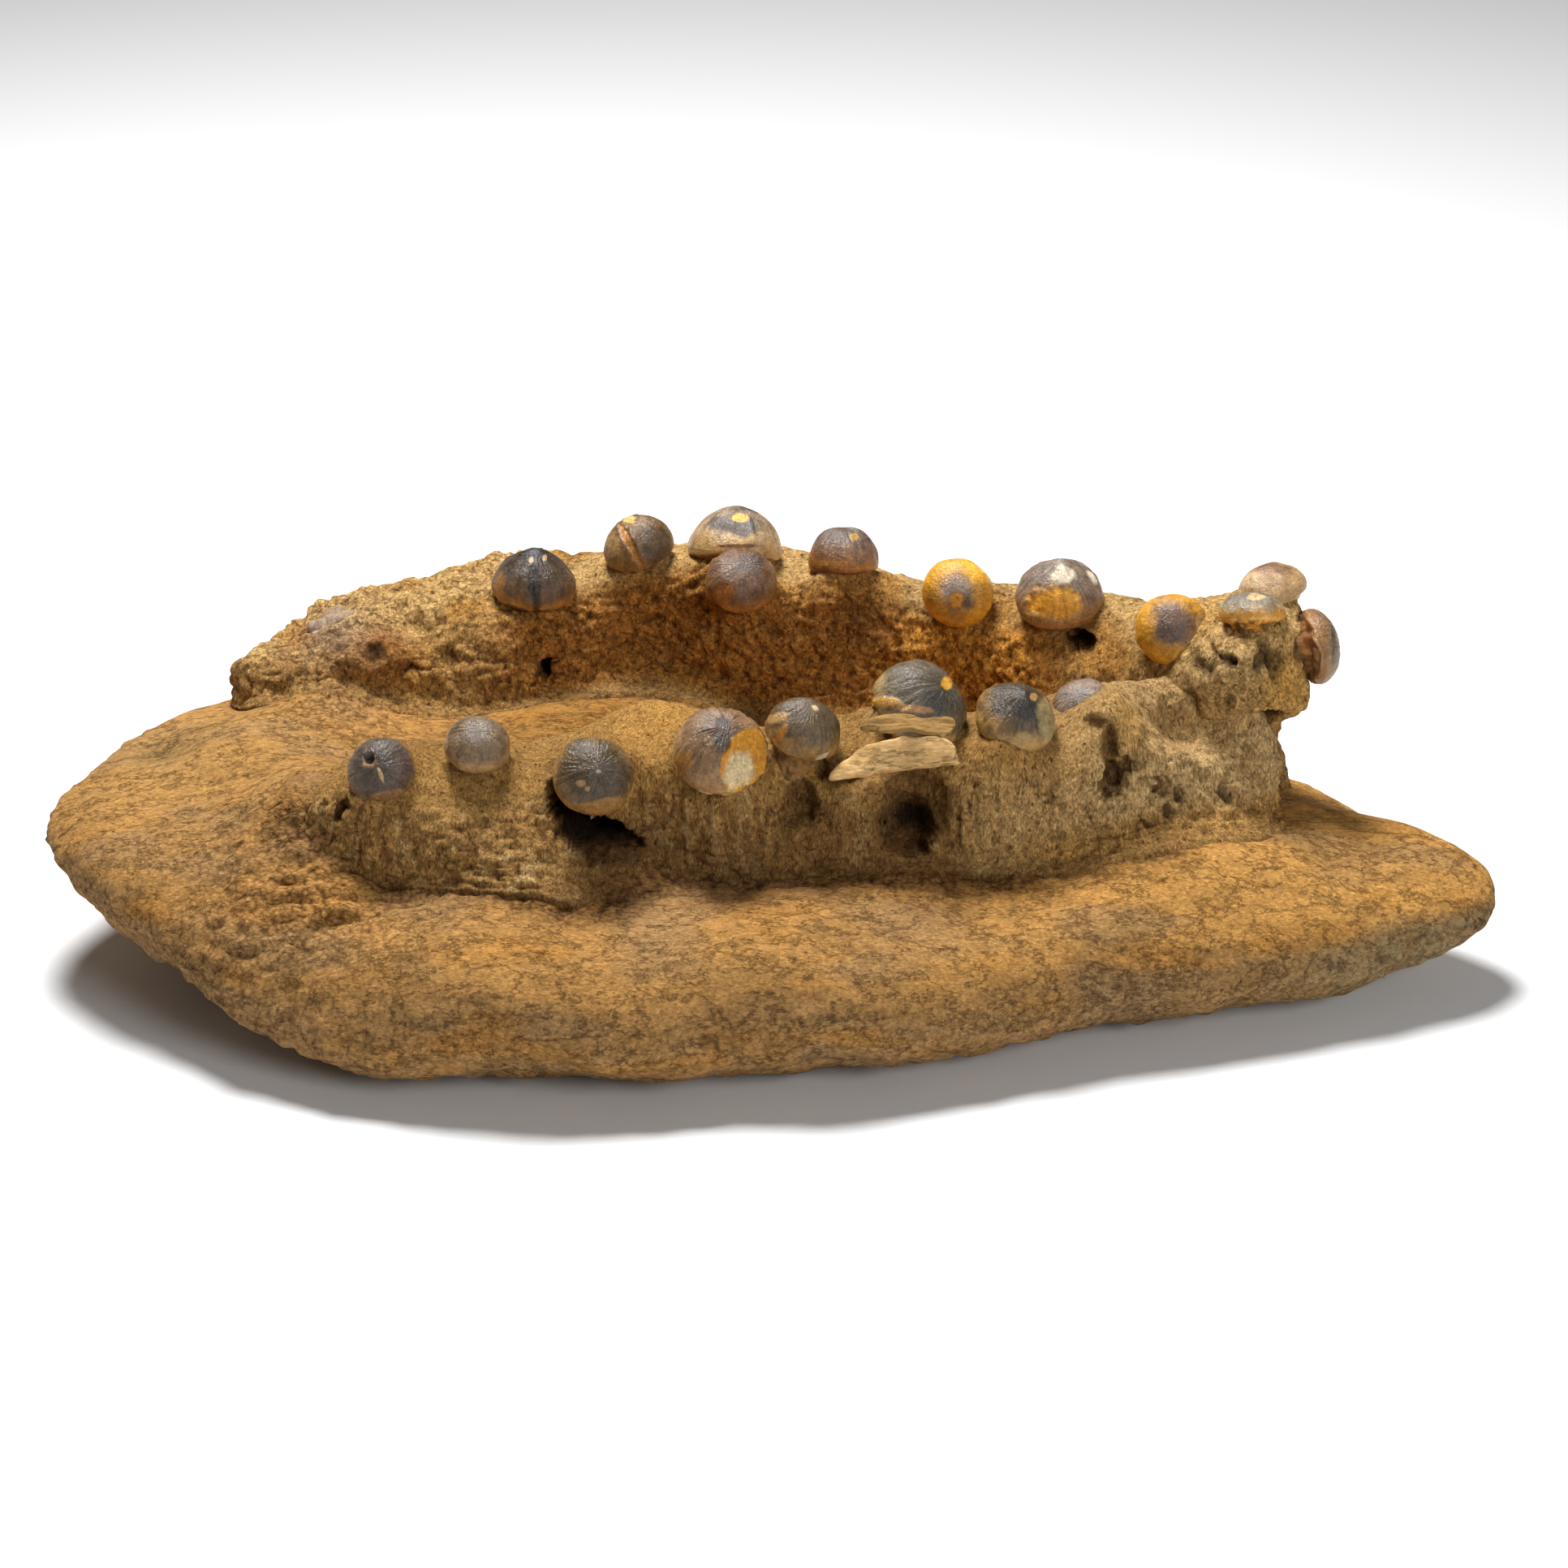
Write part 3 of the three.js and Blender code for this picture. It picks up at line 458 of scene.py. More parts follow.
NEAR_PUSHES = [
    ((-78, -38, 46), (13, 14, 12), (0, -3, 0)),  # swelling under the first two teeth
    ((-58, -42, 41), (11, 14, 9), (0, -8, 0)),  # fan of sand at the right of their foot
    ((-45, -42, 38), (7, 12, 5), (0, -10, 0)),  # its toe
    ((-28, -8, 62), 12, (0, 3, 4)),  # hump of sand on the crest
    ((-28, -37, 50), (10, 10, 9), (0, 6, 0)),  # wall set back beside the cleft
    ((-10, -35, 48), (7, 12, 10), (0, -2, 0)),  # swelling over a root
    ((18, -33, 50), (6, 12, 12), (0, -3, 0)),  # swelling over a root
    ((24, -33, 51), (2.5, 10, 11), (0, -3, 0)),  # rim of the empty socket
    ((46, -30, 52), (6, 12, 14), (0, -4, 0)),  # buttress right of the socket
    ((54, -25, 62), (8, 8, 6), (0, -2, 3)),  # crust over the seventh tooth's rim
    ((49, -26, 64), (6, 7, 6), (0, -3, 4)),  # its higher left side
    ((67, -21, 59), (6, 9, 10), (0, -5, 0)),  # buttress under the eighth tooth
    ((76, -14, 61), (6, 8, 8), (0, -3, 7)),  # crust over the eighth tooth
    ((72, -13, 64), (6, 6, 6), (0, 0, 3)),  # its front edge
    ((80, -8, 67), (5, 8, 7), (0, -1, 5)),  # its hump on the right
    ((80, -17, 65), (3, 8, 6), (0, -4, 0)),  # ridge running down from it
    ((87, -16, 60), (5, 8, 4), (0, -4, 0)),  # its lower end
    ((93, -7, 66), (9, 9, 9), (0, 4, -8)),  # dip above the ridge
    ((104, -9, 63), (16, 12, 14), (0, 7, -3)),  # slope of the snout's face
    ((-88.7, -25, 60), (7, 7, 7), (0, 0, 5)),  # crust up the back of the first
    ((-67.4, -22, 60), (7, 7, 6), (0, 0, 4)),  # up the back of the second
    ((-40, -28, 60), (7, 7, 7), (0, 0, 6)),  # up the back of the third
]
# hollows worn back into a bone's front: middle of the mouth, half-sizes along, in and across, and
# how far the long side is turned from level, in degrees
FAR_HOLLOWS = [
    ((-83, 48, 57), (7, 9, 9), 0),  # behind the lobe's broken edge
    ((-90, 46, 50), (4, 10, 2.5), 0),  # notch at the foot of that edge
    ((-99, 49, 57), (5, 6, 5), 0),  # beside the root
    ((-58, 58, 49.5), (2.5, 8, 2.5), 0),  # hole under the first tooth
    ((72.5, 37, 64.5), (3.8, 7, 2), 0),  # hole under the seventh tooth
    ((114, 3, 60), (5.5, 6, 2.2), 10),  # notch under the snout's lip
    ((88, 12, 69), (3, 6, 2), 40),  # pit in the snout
    ((101, 6, 77), (3.5, 5, 2), -50),  # pit in the snout
]
NEAR_HOLLOWS = [
    ((-46, -40, 54), (9, 20, 4), -63),  # cleft under the third tooth
    ((-38, -40, 45.5), (11, 18, 4.6), -18),  # its lower end
    ((-52, -33, 62), (3, 12, 2.2), 0),  # small hole beside the tooth
    ((-97, -36, 53.5), (2, 5, 3.6), -15),  # crevice at the left end
    ((6, -32, 54), (4.5, 7, 6.4), 20),  # hollow between roots
    ((10.5, -31, 61.5), (3, 10, 4), 20),  # its deeper top
    ((19, -30, 59), (9, 6, 2), 12),  # gap under the splinter
    ((32.3, -30, 51), (8, 7, 12.5), 0),  # empty round socket
    ((31.5, -26, 45), (6.5, 6, 6.5), -10),  # its deeper floor
    ((70, -20, 68.5), (6, 4, 1.6), 0),  # gap over the buttress
    ((75.4, -21, 62), (2.3, 4, 7), 0),  # gap beside it
    ((77, -23, 56), (4, 5.5, 5.5), 0),  # recess at its foot
    ((89, -18, 50), (4.5, 4, 1.6), -50),  # crack that runs on from it
]

# the teeth: middle of the girth, girth radius, lean and its bearing in degrees, height of the crown
# in girth radii, and taper: 1 on a round crown, 2 on a pointed one
TEETH = {
    "near_tooth_1": ((-88.7, -32, 62.1), 7.7, 55, -90, 0.9, 1),
    "near_tooth_2": ((-67.4, -26, 65.6), 7.4, 28, -84, 0.74, 0.85),
    "near_tooth_3": ((-40.8, -36, 62.6), 9, 50, -75, 0.82, 1.1),
    "near_tooth_4": ((-12.4, -29, 65), 10.7, 30, -71, 1, 0.95),
    "near_tooth_5": ((6, -25, 68.1), 8.7, 20, -31, 0.95, 1),
    "near_tooth_6": ((31.7, -15, 69.4), 11.6, 43, -25, 0.95, 1),
    "near_tooth_7": ((54.6, -18, 68.8), 9.4, 26, -58, 0.95, 1.8),
    "near_tooth_8": ((71.5, -3.3, 64.7), 7.4, 37, -120, 0.9, 1),
    "far_tooth_root": ((-109, 62, 55.5), 7.1, 48, -90, 0.35, 1),
    "far_tooth_1": ((-60, 69, 65.7), 10.6, 8, -57, 1.02, 1.7),
    "far_tooth_2": ((-34, 77, 72.7), 8.9, 16, -165, 0.95, 0.95),
    "far_tooth_3": ((-10.1, 78, 72), 11.8, 20, 78, 0.95, 1.1),
    "far_tooth_4": ((-8.7, 62, 70.1), 8.9, 32, -75, 0.7, 0.85),
    "far_tooth_5": ((16.8, 70, 71.6), 8.6, 18, 90, 1.08, 0.9),
    "far_tooth_6": ((44.5, 54, 70.4), 8.8, 80, -95, 0.85, 1.1),
    "far_tooth_7": ((68.8, 46, 72.2), 11, 15, -95, 1.02, 1.7),
    "far_tooth_8": ((94, 21.8, 73.8), 8.9, 62, -88, 0.9, 1),
    "far_tooth_9": ((111.4, 12, 82.2), 7.9, 22, 90, 0.63, 0.95),
    "far_tooth_10": ((117.3, 25, 82.4), 8.4, 22, 160, 0.8, 1),
    "far_tooth_11": ((126.4, 13, 73.5), 8.7, 85, 10, 0.65, 1),
}
# a tooth's collar of crust, in its girth radii: how far below the girth its middle lies, how far
# it reaches, and how high it stands
COLLAR_DEPTH, COLLAR_REACH, COLLAR_RISE = 0.8, 1.0, 0.5


def tooth_axis(lean, bearing):
    """The unit vector that a tooth leans along: lean from upright, bearing from +X."""
    slant, way = math.radians(lean), math.radians(bearing)
    return np.array([math.sin(slant) * math.cos(way), math.sin(slant) * math.sin(way), math.cos(slant)])


def collars(side):
    """A push for each tooth on a side, which raises the crust round its root."""
    pushes = []
    for name, (at, radius, lean, bearing, *_) in TEETH.items():
        if name.startswith(side):
            axis = tooth_axis(lean, bearing)
            place = np.array(at) - axis * COLLAR_DEPTH * radius
            pushes.append((place, COLLAR_REACH * radius, axis * COLLAR_RISE * radius))
    return pushes


def hollowed(points, hollows):
    """Points inside a hollow's outline, seen from the front, moved back to the far wall of an
    ellipsoid in the hollow's mouth."""
    x, y, z = np.moveaxis(points, -1, 0)
    for (at_x, at_y, at_z), (long, deep, wide), turn in hollows:
        right, up = math.cos(math.radians(turn)), math.sin(math.radians(turn))
        along, across = (x - at_x) * right + (z - at_z) * up, (z - at_z) * right - (x - at_x) * up
        inside = 1 - (along / long) ** 2 - (across / wide) ** 2
        y = np.where(inside > 0, np.maximum(y, at_y + deep * np.sqrt(np.maximum(0, inside))), y)
    return np.stack([x, y, z], -1)


def bone_rings(stations, blunt, pushes, hollows):
    """The section carried along the path through the stations. Its width follows theirs, its
    height is a share of the way from the stone's top to the crest, and both draw in to a point
    over the blunt stretch at each end, in mm. Pushes and hollows then shape it. Returned with how
    far each point was worn back by the hollows."""
    k = (0.5 - 0.5 * np.cos(np.pi * np.linspace(0, 1, BONE_ALONG)))[:, None]
    path = spline(stations, k[:, 0])
    step = 1e-4
    ahead = spline(stations, np.minimum(1, k[:, 0] + step)) - spline(stations, np.maximum(0, k[:, 0] - step))
    ahead /= np.hypot(ahead[:, 0], ahead[:, 1])[:, None]
    even = spline(stations, np.linspace(0, 1, 201))[:, :3]
    length = np.linalg.norm(np.diff(even, axis=0), axis=1).sum()
    to_end = np.minimum(k, 1 - k) * length
    fade = (1 - np.clip(1 - to_end / blunt, 0, 1) ** END_TIP) ** (1 / END_SIDE)
    section = spline(BONE_SECTION, np.linspace(0, 1, BONE_AROUND))
    spread = np.minimum(section[None, :, 0], 1) + path[:, 4:5] * np.maximum(section[None, :, 0] - 1, 0)
    across = spread * path[:, 3:4] * fade
    x = path[:, 0:1] + ahead[:, 1:2] * across
    y = path[:, 1:2] - ahead[:, 0:1] * across
    inwards = np.minimum(1, FOOT_LIMIT * rim_at(x, y)[0] / np.hypot(x, y))
    x, y = x * inwards, y * inwards
    ground = stone_top(x, y)
    raised = ground + section[None, :, 1] * (path[:, 2:3] - ground) * fade**END_RISE
    z = np.where(fade == 0, ground - END_DEPTH, raised)
    shaped = pushed(np.stack([x, y, z], -1), pushes)
    worn = hollowed(shaped, hollows)
    return weathered(worn), section, worn[..., 1] - shaped[..., 1]


def bone_piece(name, node, rings, section, relief, stain, rough, material):
    """One jaw bone: its rings moved out by the relief along their normals, but not at the foot,
    where they run into the stone."""
    normals = grid_normals(rings)
    normals[0], normals[-1] = 0, 0
    settled = eased(section[None, :, 1], -0.05, 0.1)
    rings = rings + normals * (relief * settled)[..., None]
    # the low spots of the relief are darkened as painted shade, and the foot, where the bone runs into the
    # stone, is darker brown
    stain = stained(stain, [(0.75 * eased(-relief, 0.3, 1.6), "#46301a"), (0.8 * (1 - settled), "#7f5f36")])
    piece = ring_piece(name, rings, stain, {"rough": rough})
    piece.data.materials.append(material)
    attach(piece, "root")
    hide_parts(node)


crust = rock_material("sand crust over bone", (1, 1, 0.75), 1)
fibrous = rock_material("fibrous bone under sand", (1.35, 1.35, 0.5), 1)

# the far bone: gold crust, granular along the trough, pale and pitted at the snout
rings, section, worn = bone_rings(FAR_BONE, 20, FAR_PUSHES + collars("far"), FAR_HOLLOWS)
across, share = section[None, :, 0], section[None, :, 1]
x, y, z = np.moveaxis(rings, -1, 0)
wall = eased(across, 0.45, 0.8) * (1 - eased(across, 1.1, 1.35))  # the side along the trough
wall = wall * eased(x, -78, -55) * (1 - eased(x, 56, 76))
popcorn = 0.62 - grains(rings, 2.1, 23)  # its grains of cemented sand
rough_end = 1 - eased(x, -70, -40)  # the broken lobe
snout = near(rings, (108, 2, 74), (22, 20, 14))
relief = 0.7 * noise(rings, 10, 20) + (0.3 + 0.45 * rough_end) * clumps(rings, 5.5, 21)
relief += (0.3 + 0.3 * rough_end) * clumps(rings, 2.6, 22) + wall * (
    1.9 * popcorn + 0.8 * clumps(rings, 6, 28))
relief += snout * (0.5 * clumps(rings, 4.5, 24) + 0.6 * clumps(rings, 2.3, 26))
relief -= snout * 1.3 * eased(noise(rings, 3.4, 29), 0.35, 0.7)
relief += 0.15 * noise(rings, 1.3, 25)
back = eased(-across, 0.3, 0.8) * eased(share, 0.1, 0.3)
relief += back * (0.9 * noise(rings, 22, 31) + 0.7 * clumps(rings, 8, 32))
crumb = near(rings, (-110, 57, 59), (11, 12, 8))  # purple-grey crumbs over the broken root
stain = stained(colour("#b08a52"), [
    # pale gold along the crest: partly the sand's colour, partly painted light on the top
    (0.75 * eased(share, 0.75, 1.0) + 0 * x, "#dcb87c"),
    (wall, "#b5803f"),
    (0.8 * wall * eased(x, 10, 40), "#d2933a"),
    # darker towards the bottom of the trough wall
    (0.5 * wall * eased(z, 50, 40), "#9a6a2c"),
    # painted shade in the gaps between the wall's grains
    (0.7 * wall * (1 - eased(popcorn, -0.35, 0.05)), "#5c3812"),
    (0.7 * eased(noise(rings, 13, 27), 0.25, 0.8) * (1 - wall), "#b37f35"),
    (0.55 * back * eased(noise(rings, (16, 16, 7), 33), -0.1, 0.6), "#8f6c40"),
    # painted shade in the smooth hollow under the fifth tooth
    (0.8 * near(rings, (23, 62, 59), 8), "#7a5228"),
    (0.7 * near(rings, (102, 18, 76), 8), "#d9a54c"),
    (0.7 * near(rings, (110, 6, 77), (10, 7, 4)), "#d9a850"),
    (0.9 * near(rings, (-97, 54, 57), 7), "#9a5f22"),
    (0.7 * crumb, "#a78f7b"),
    (0.8 * crumb * eased(noise(rings, 2.4, 30), 0.1, 0.5), "#5d4636"),
    (0.7 * snout, "#dabb86"),
    (0.85 * near(rings, (121, 2, 69), (8, 8, 9)), "#d9a54c"),
    # painted shade in the pits of the snout
    (0.85 * snout * eased(noise(rings, 3.4, 29), 0.3, 0.6), "#4f3a20"),
    # dark in the hollows worn into the front: dirt and painted shade
    (0.9 * eased(worn, 0.5, 5), "#3c2811"),
])
rough = np.clip(0.35 + 0.3 * wall + 0.25 * rough_end, 0, 1)
bone_piece("far_jaw_ramus", "far_jaw_bone", rings, section, relief, stain, rough, crust)

# the near bone: rubble at its left end, then an upright face of fibres
rings, section, worn = bone_rings(NEAR_BONE, 18, NEAR_PUSHES + collars("near"), NEAR_HOLLOWS)
across, share = section[None, :, 0], section[None, :, 1]
x, y, z = np.moveaxis(rings, -1, 0)
front = eased(across, 0.7, 0.95) + 0 * x
rubble = front * (1 - eased(x, -50, -38))
# the fibres stand upright, and fan out towards the snout
fanned = np.stack([x + 0.9 * eased(x, 40, 110) * (z - 40), y, z], -1)
fibres = noise(fanned, (1.6, 1.6, 9), 43) + 0.6 * noise(fanned, (4, 4, 16), 46)
relief = 0.6 * noise(rings, 9, 40) + (0.25 + 0.45 * front) * 0.7 * clumps(rings, 4.6, 41)
relief += (0.25 + 0.4 * front) * clumps(rings, 2.2, 42)
relief += (0.45 + 0.45 * eased(x, 34, 50)) * (front - rubble) * fibres
relief += rubble * 0.35 * clumps(rings, 6.5, 47) + 0.25 * noise(rings, 1.2, 44)
pits = front * near(rings, (88, -14, 57), (20, 20, 12)) * eased(noise(rings, 3, 49), 0.1, 0.5)
relief += -1.6 * pits + near(rings, (96, -4, 62), (18, 14, 10)) * 1.2 * clumps(rings, (4, 4, 5), 51)
relief += near(rings, (92, -4, 67), (12, 12, 9)) * 0.9 * clumps(rings, 2.6, 52)
relief *= 1 - 0.6 * near(rings, (-26, -14, 66), 13)
relief += 2.2 * near(rings, (14, -20, 61.5), (7, 6, 4))  # crust behind the splinter's left end
stain = stained(colour("#b58c50"), [
    (0.8 * front, "#b68e56"),
    (0.6 * rubble, "#a8834f"),
    (0.5 * eased(noise(rings, 14, 45), 0.2, 0.8), "#a47536"),
    # pale on the raised fibres and dark between them: partly the grain's colour, partly painted light and
    # shade
    (0.6 * front * eased(fibres, 0.1, 0.9), "#d8b981"),
    (0.4 * (front - rubble) * eased(-fibres, 0.25, 0.9), "#6b4d2a"),
    # painted shade, darkening the left of the face towards its foot
    (0.55 * (front - rubble) * (1 - eased(x, 30, 48)) * eased(z, 62, 42), "#805e36"),
    # paler towards the snout: partly the bone's paler colour, partly painted light on the front
    (0.6 * eased(x, 36, 50) * front, "#d6b47c"),
    (0.55 * eased(x, 50, 90), "#e6c792"),
    (0.7 * near(rings, (80, -14, 66), (5, 9, 8)), "#cf9f50"),
    # pale gold on the hump of sand: partly its colour, partly painted light on its top
    (0.7 * near(rings, (-26, -14, 66), 14), "#dca758"),
    # painted shade in the pits by the snout
    (0.8 * pits, "#4a351b"),
    # painted light lifting the foot of the face towards the snout
    (0.8 * eased(x, 44, 70) * eased(share, 0.35, 0.08) * front, "#cc9c56"),
    # painted shade on the ledge by the snout
    (0.4 * near(rings, (93, 0, 64), (12, 10, 8)), "#9a7240"),
    # brown dirt and painted shade in the hollows, and black painted shade deep inside them
    (0.7 * eased(worn, 0.3, 3), "#7a5830"),
    (0.95 * eased(worn + 2 * noise(rings, 5, 50), 6, 11), "#1c1108"),
])
rough = np.clip(0.1 + 0.3 * front + 0.2 * rubble, 0, 1)
bone_piece("near_jaw_ramus", "near_jaw_bone", rings, section, relief, stain, rough, fibrous)

# ---- the splinters ----
# Two broken plates of bare bone that lie on the near jaw's front edge, under the sixth tooth. The
# lower is a pale spearhead, and the upper a thin flake in layers.

# outline in the plate's own plane, thickness, place of its origin, and lean back from upright
SPLINTER = ([
    (-14.3, -4.8), (-1.4, -2.9), (13.4, -1.2), (14.5, 0.2), (14.1, 2.6), (12, 4.6), (8.6, 5.3), (3, 5.2),
    (-3.6, 3.9), (-9.3, 0.7),
], 3, (26.6, -28, 62.9), 38)
FLAKE = ([
    (-10.5, -1.2), (-6, -2.2), (0, -1.5), (4.5, -2.7), (8.3, -3.4), (10.5, -0.6), (9.3, 1.8), (4, 1.7),
    (-1, 3.2), (-7, 2.2),
], 1.5, (30, -28.4, 71.4), 62)


def plate(name, node, shape, tint, lined, seed):
    """An outline drawn in to its middle on both faces and rounded over its edge, with a grain
    along its length as strong as lined says and a ragged edge. It leans back by turning about its
    own long axis."""
    outline, thick, at, lean = shape
    sides, rows = 160, 26
    edge = spline(outline, np.arange(sides) / sides, closed=True)
    middle = edge.mean(0)
    turn = np.linspace(0, np.pi, 2 * rows)[:, None]
    out = np.sin(turn) ** 0.35
    flat = middle + (edge - middle)[None] * out[..., None]
    high = thick / 2 * (1 - np.sign(np.cos(turn)) * np.abs(np.cos(turn)) ** 0.4) + 0 * flat[..., 0]
    grid = np.stack([flat[..., 0], flat[..., 1], high], -1)
    grid += 0.5 * out[..., None] ** 4 * np.stack([noise(grid, 3, seed + i) for i in range(3)], -1)
    grain = noise(grid, (9, 1.1, 1.1), seed + 4) + 0.6 * noise(grid, (5, 0.7, 0.7), seed + 5)
    grid[..., 2] += np.sign(high - thick / 2) * 0.4 * lined * grain
    tilt = np.pi / 2 - math.radians(lean)
    spin = np.array([[1, 0, 0], [0, math.cos(tilt), -math.sin(tilt)], [0, math.sin(tilt), math.cos(tilt)]])
    stain = stained(colour(tint), [
        (lined * eased(-grain, 0.2, 1.0), "#7d5f38"),
        (0.5 * eased(noise(grid, 4, seed + 6), 0.2, 0.8), "#b08c54"),
    ])
    piece = ring_piece(name, grid @ spin.T + np.array(at, float), stain, {"rough": 0 * high})
    piece.data.materials.append(bare_bone)
    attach(piece, "root")
    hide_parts(node)


bare_bone = rock_material("bare fossil bone", (0.3, 1, 1), 0.45)
plate("pale_splinter", "bone_splinter", SPLINTER, "#ddb67c", 0.2, 60)
plate("layered_flake", "bone_flake", FLAKE, "#957545", 0.8, 70)

# ---- the teeth ----
# Button crowns of fossil enamel: swollen at the girth, drawn to a small nipple at the tip and in to
# a neck. Each stands in its own socket on a short root, and most lean towards the near side.

# the underside of a crown and its root: across and up in girth radii, from the girth down
UNDERSIDE = [(1, 0), (0.97, -0.13), (0.88, -0.23), (0.7, -0.31), (0.58, -0.6), (0.56, -1.15), (0, -1.2)]
SHELL, DENTS = 0.05, 0.045  # how thick the enamel is and how deep its dents are, in girth radii
MARK_COVER = 0.9  # how strongly a mark covers the enamel
DULL_ROUGHNESS = 0.85  # of the root, broken dentine and worn spots
SLATE, BROWN, AMBER, DENTINE = "slate_enamel", "brown_enamel", "amber_enamel", "bare_bone"
# each slot's material and its roughness, height of the ribs in girth radii, how much darker the
# grooves between them are painted as shade, and how softly a mark ends
ENAMEL_FINISH = {
    SLATE: ("slate fossil enamel", 0.22, 0.018, 0.32, 0.24),
    BROWN: ("brown fossil enamel", 0.26, 0.018, 0.32, 0.24),
    AMBER: ("amber fossil enamel", 0.28, 0.006, 0.12, 0.45),
    DENTINE: ("weathered dentine", 0.8, 0.018, 0.32, 0.24),
}

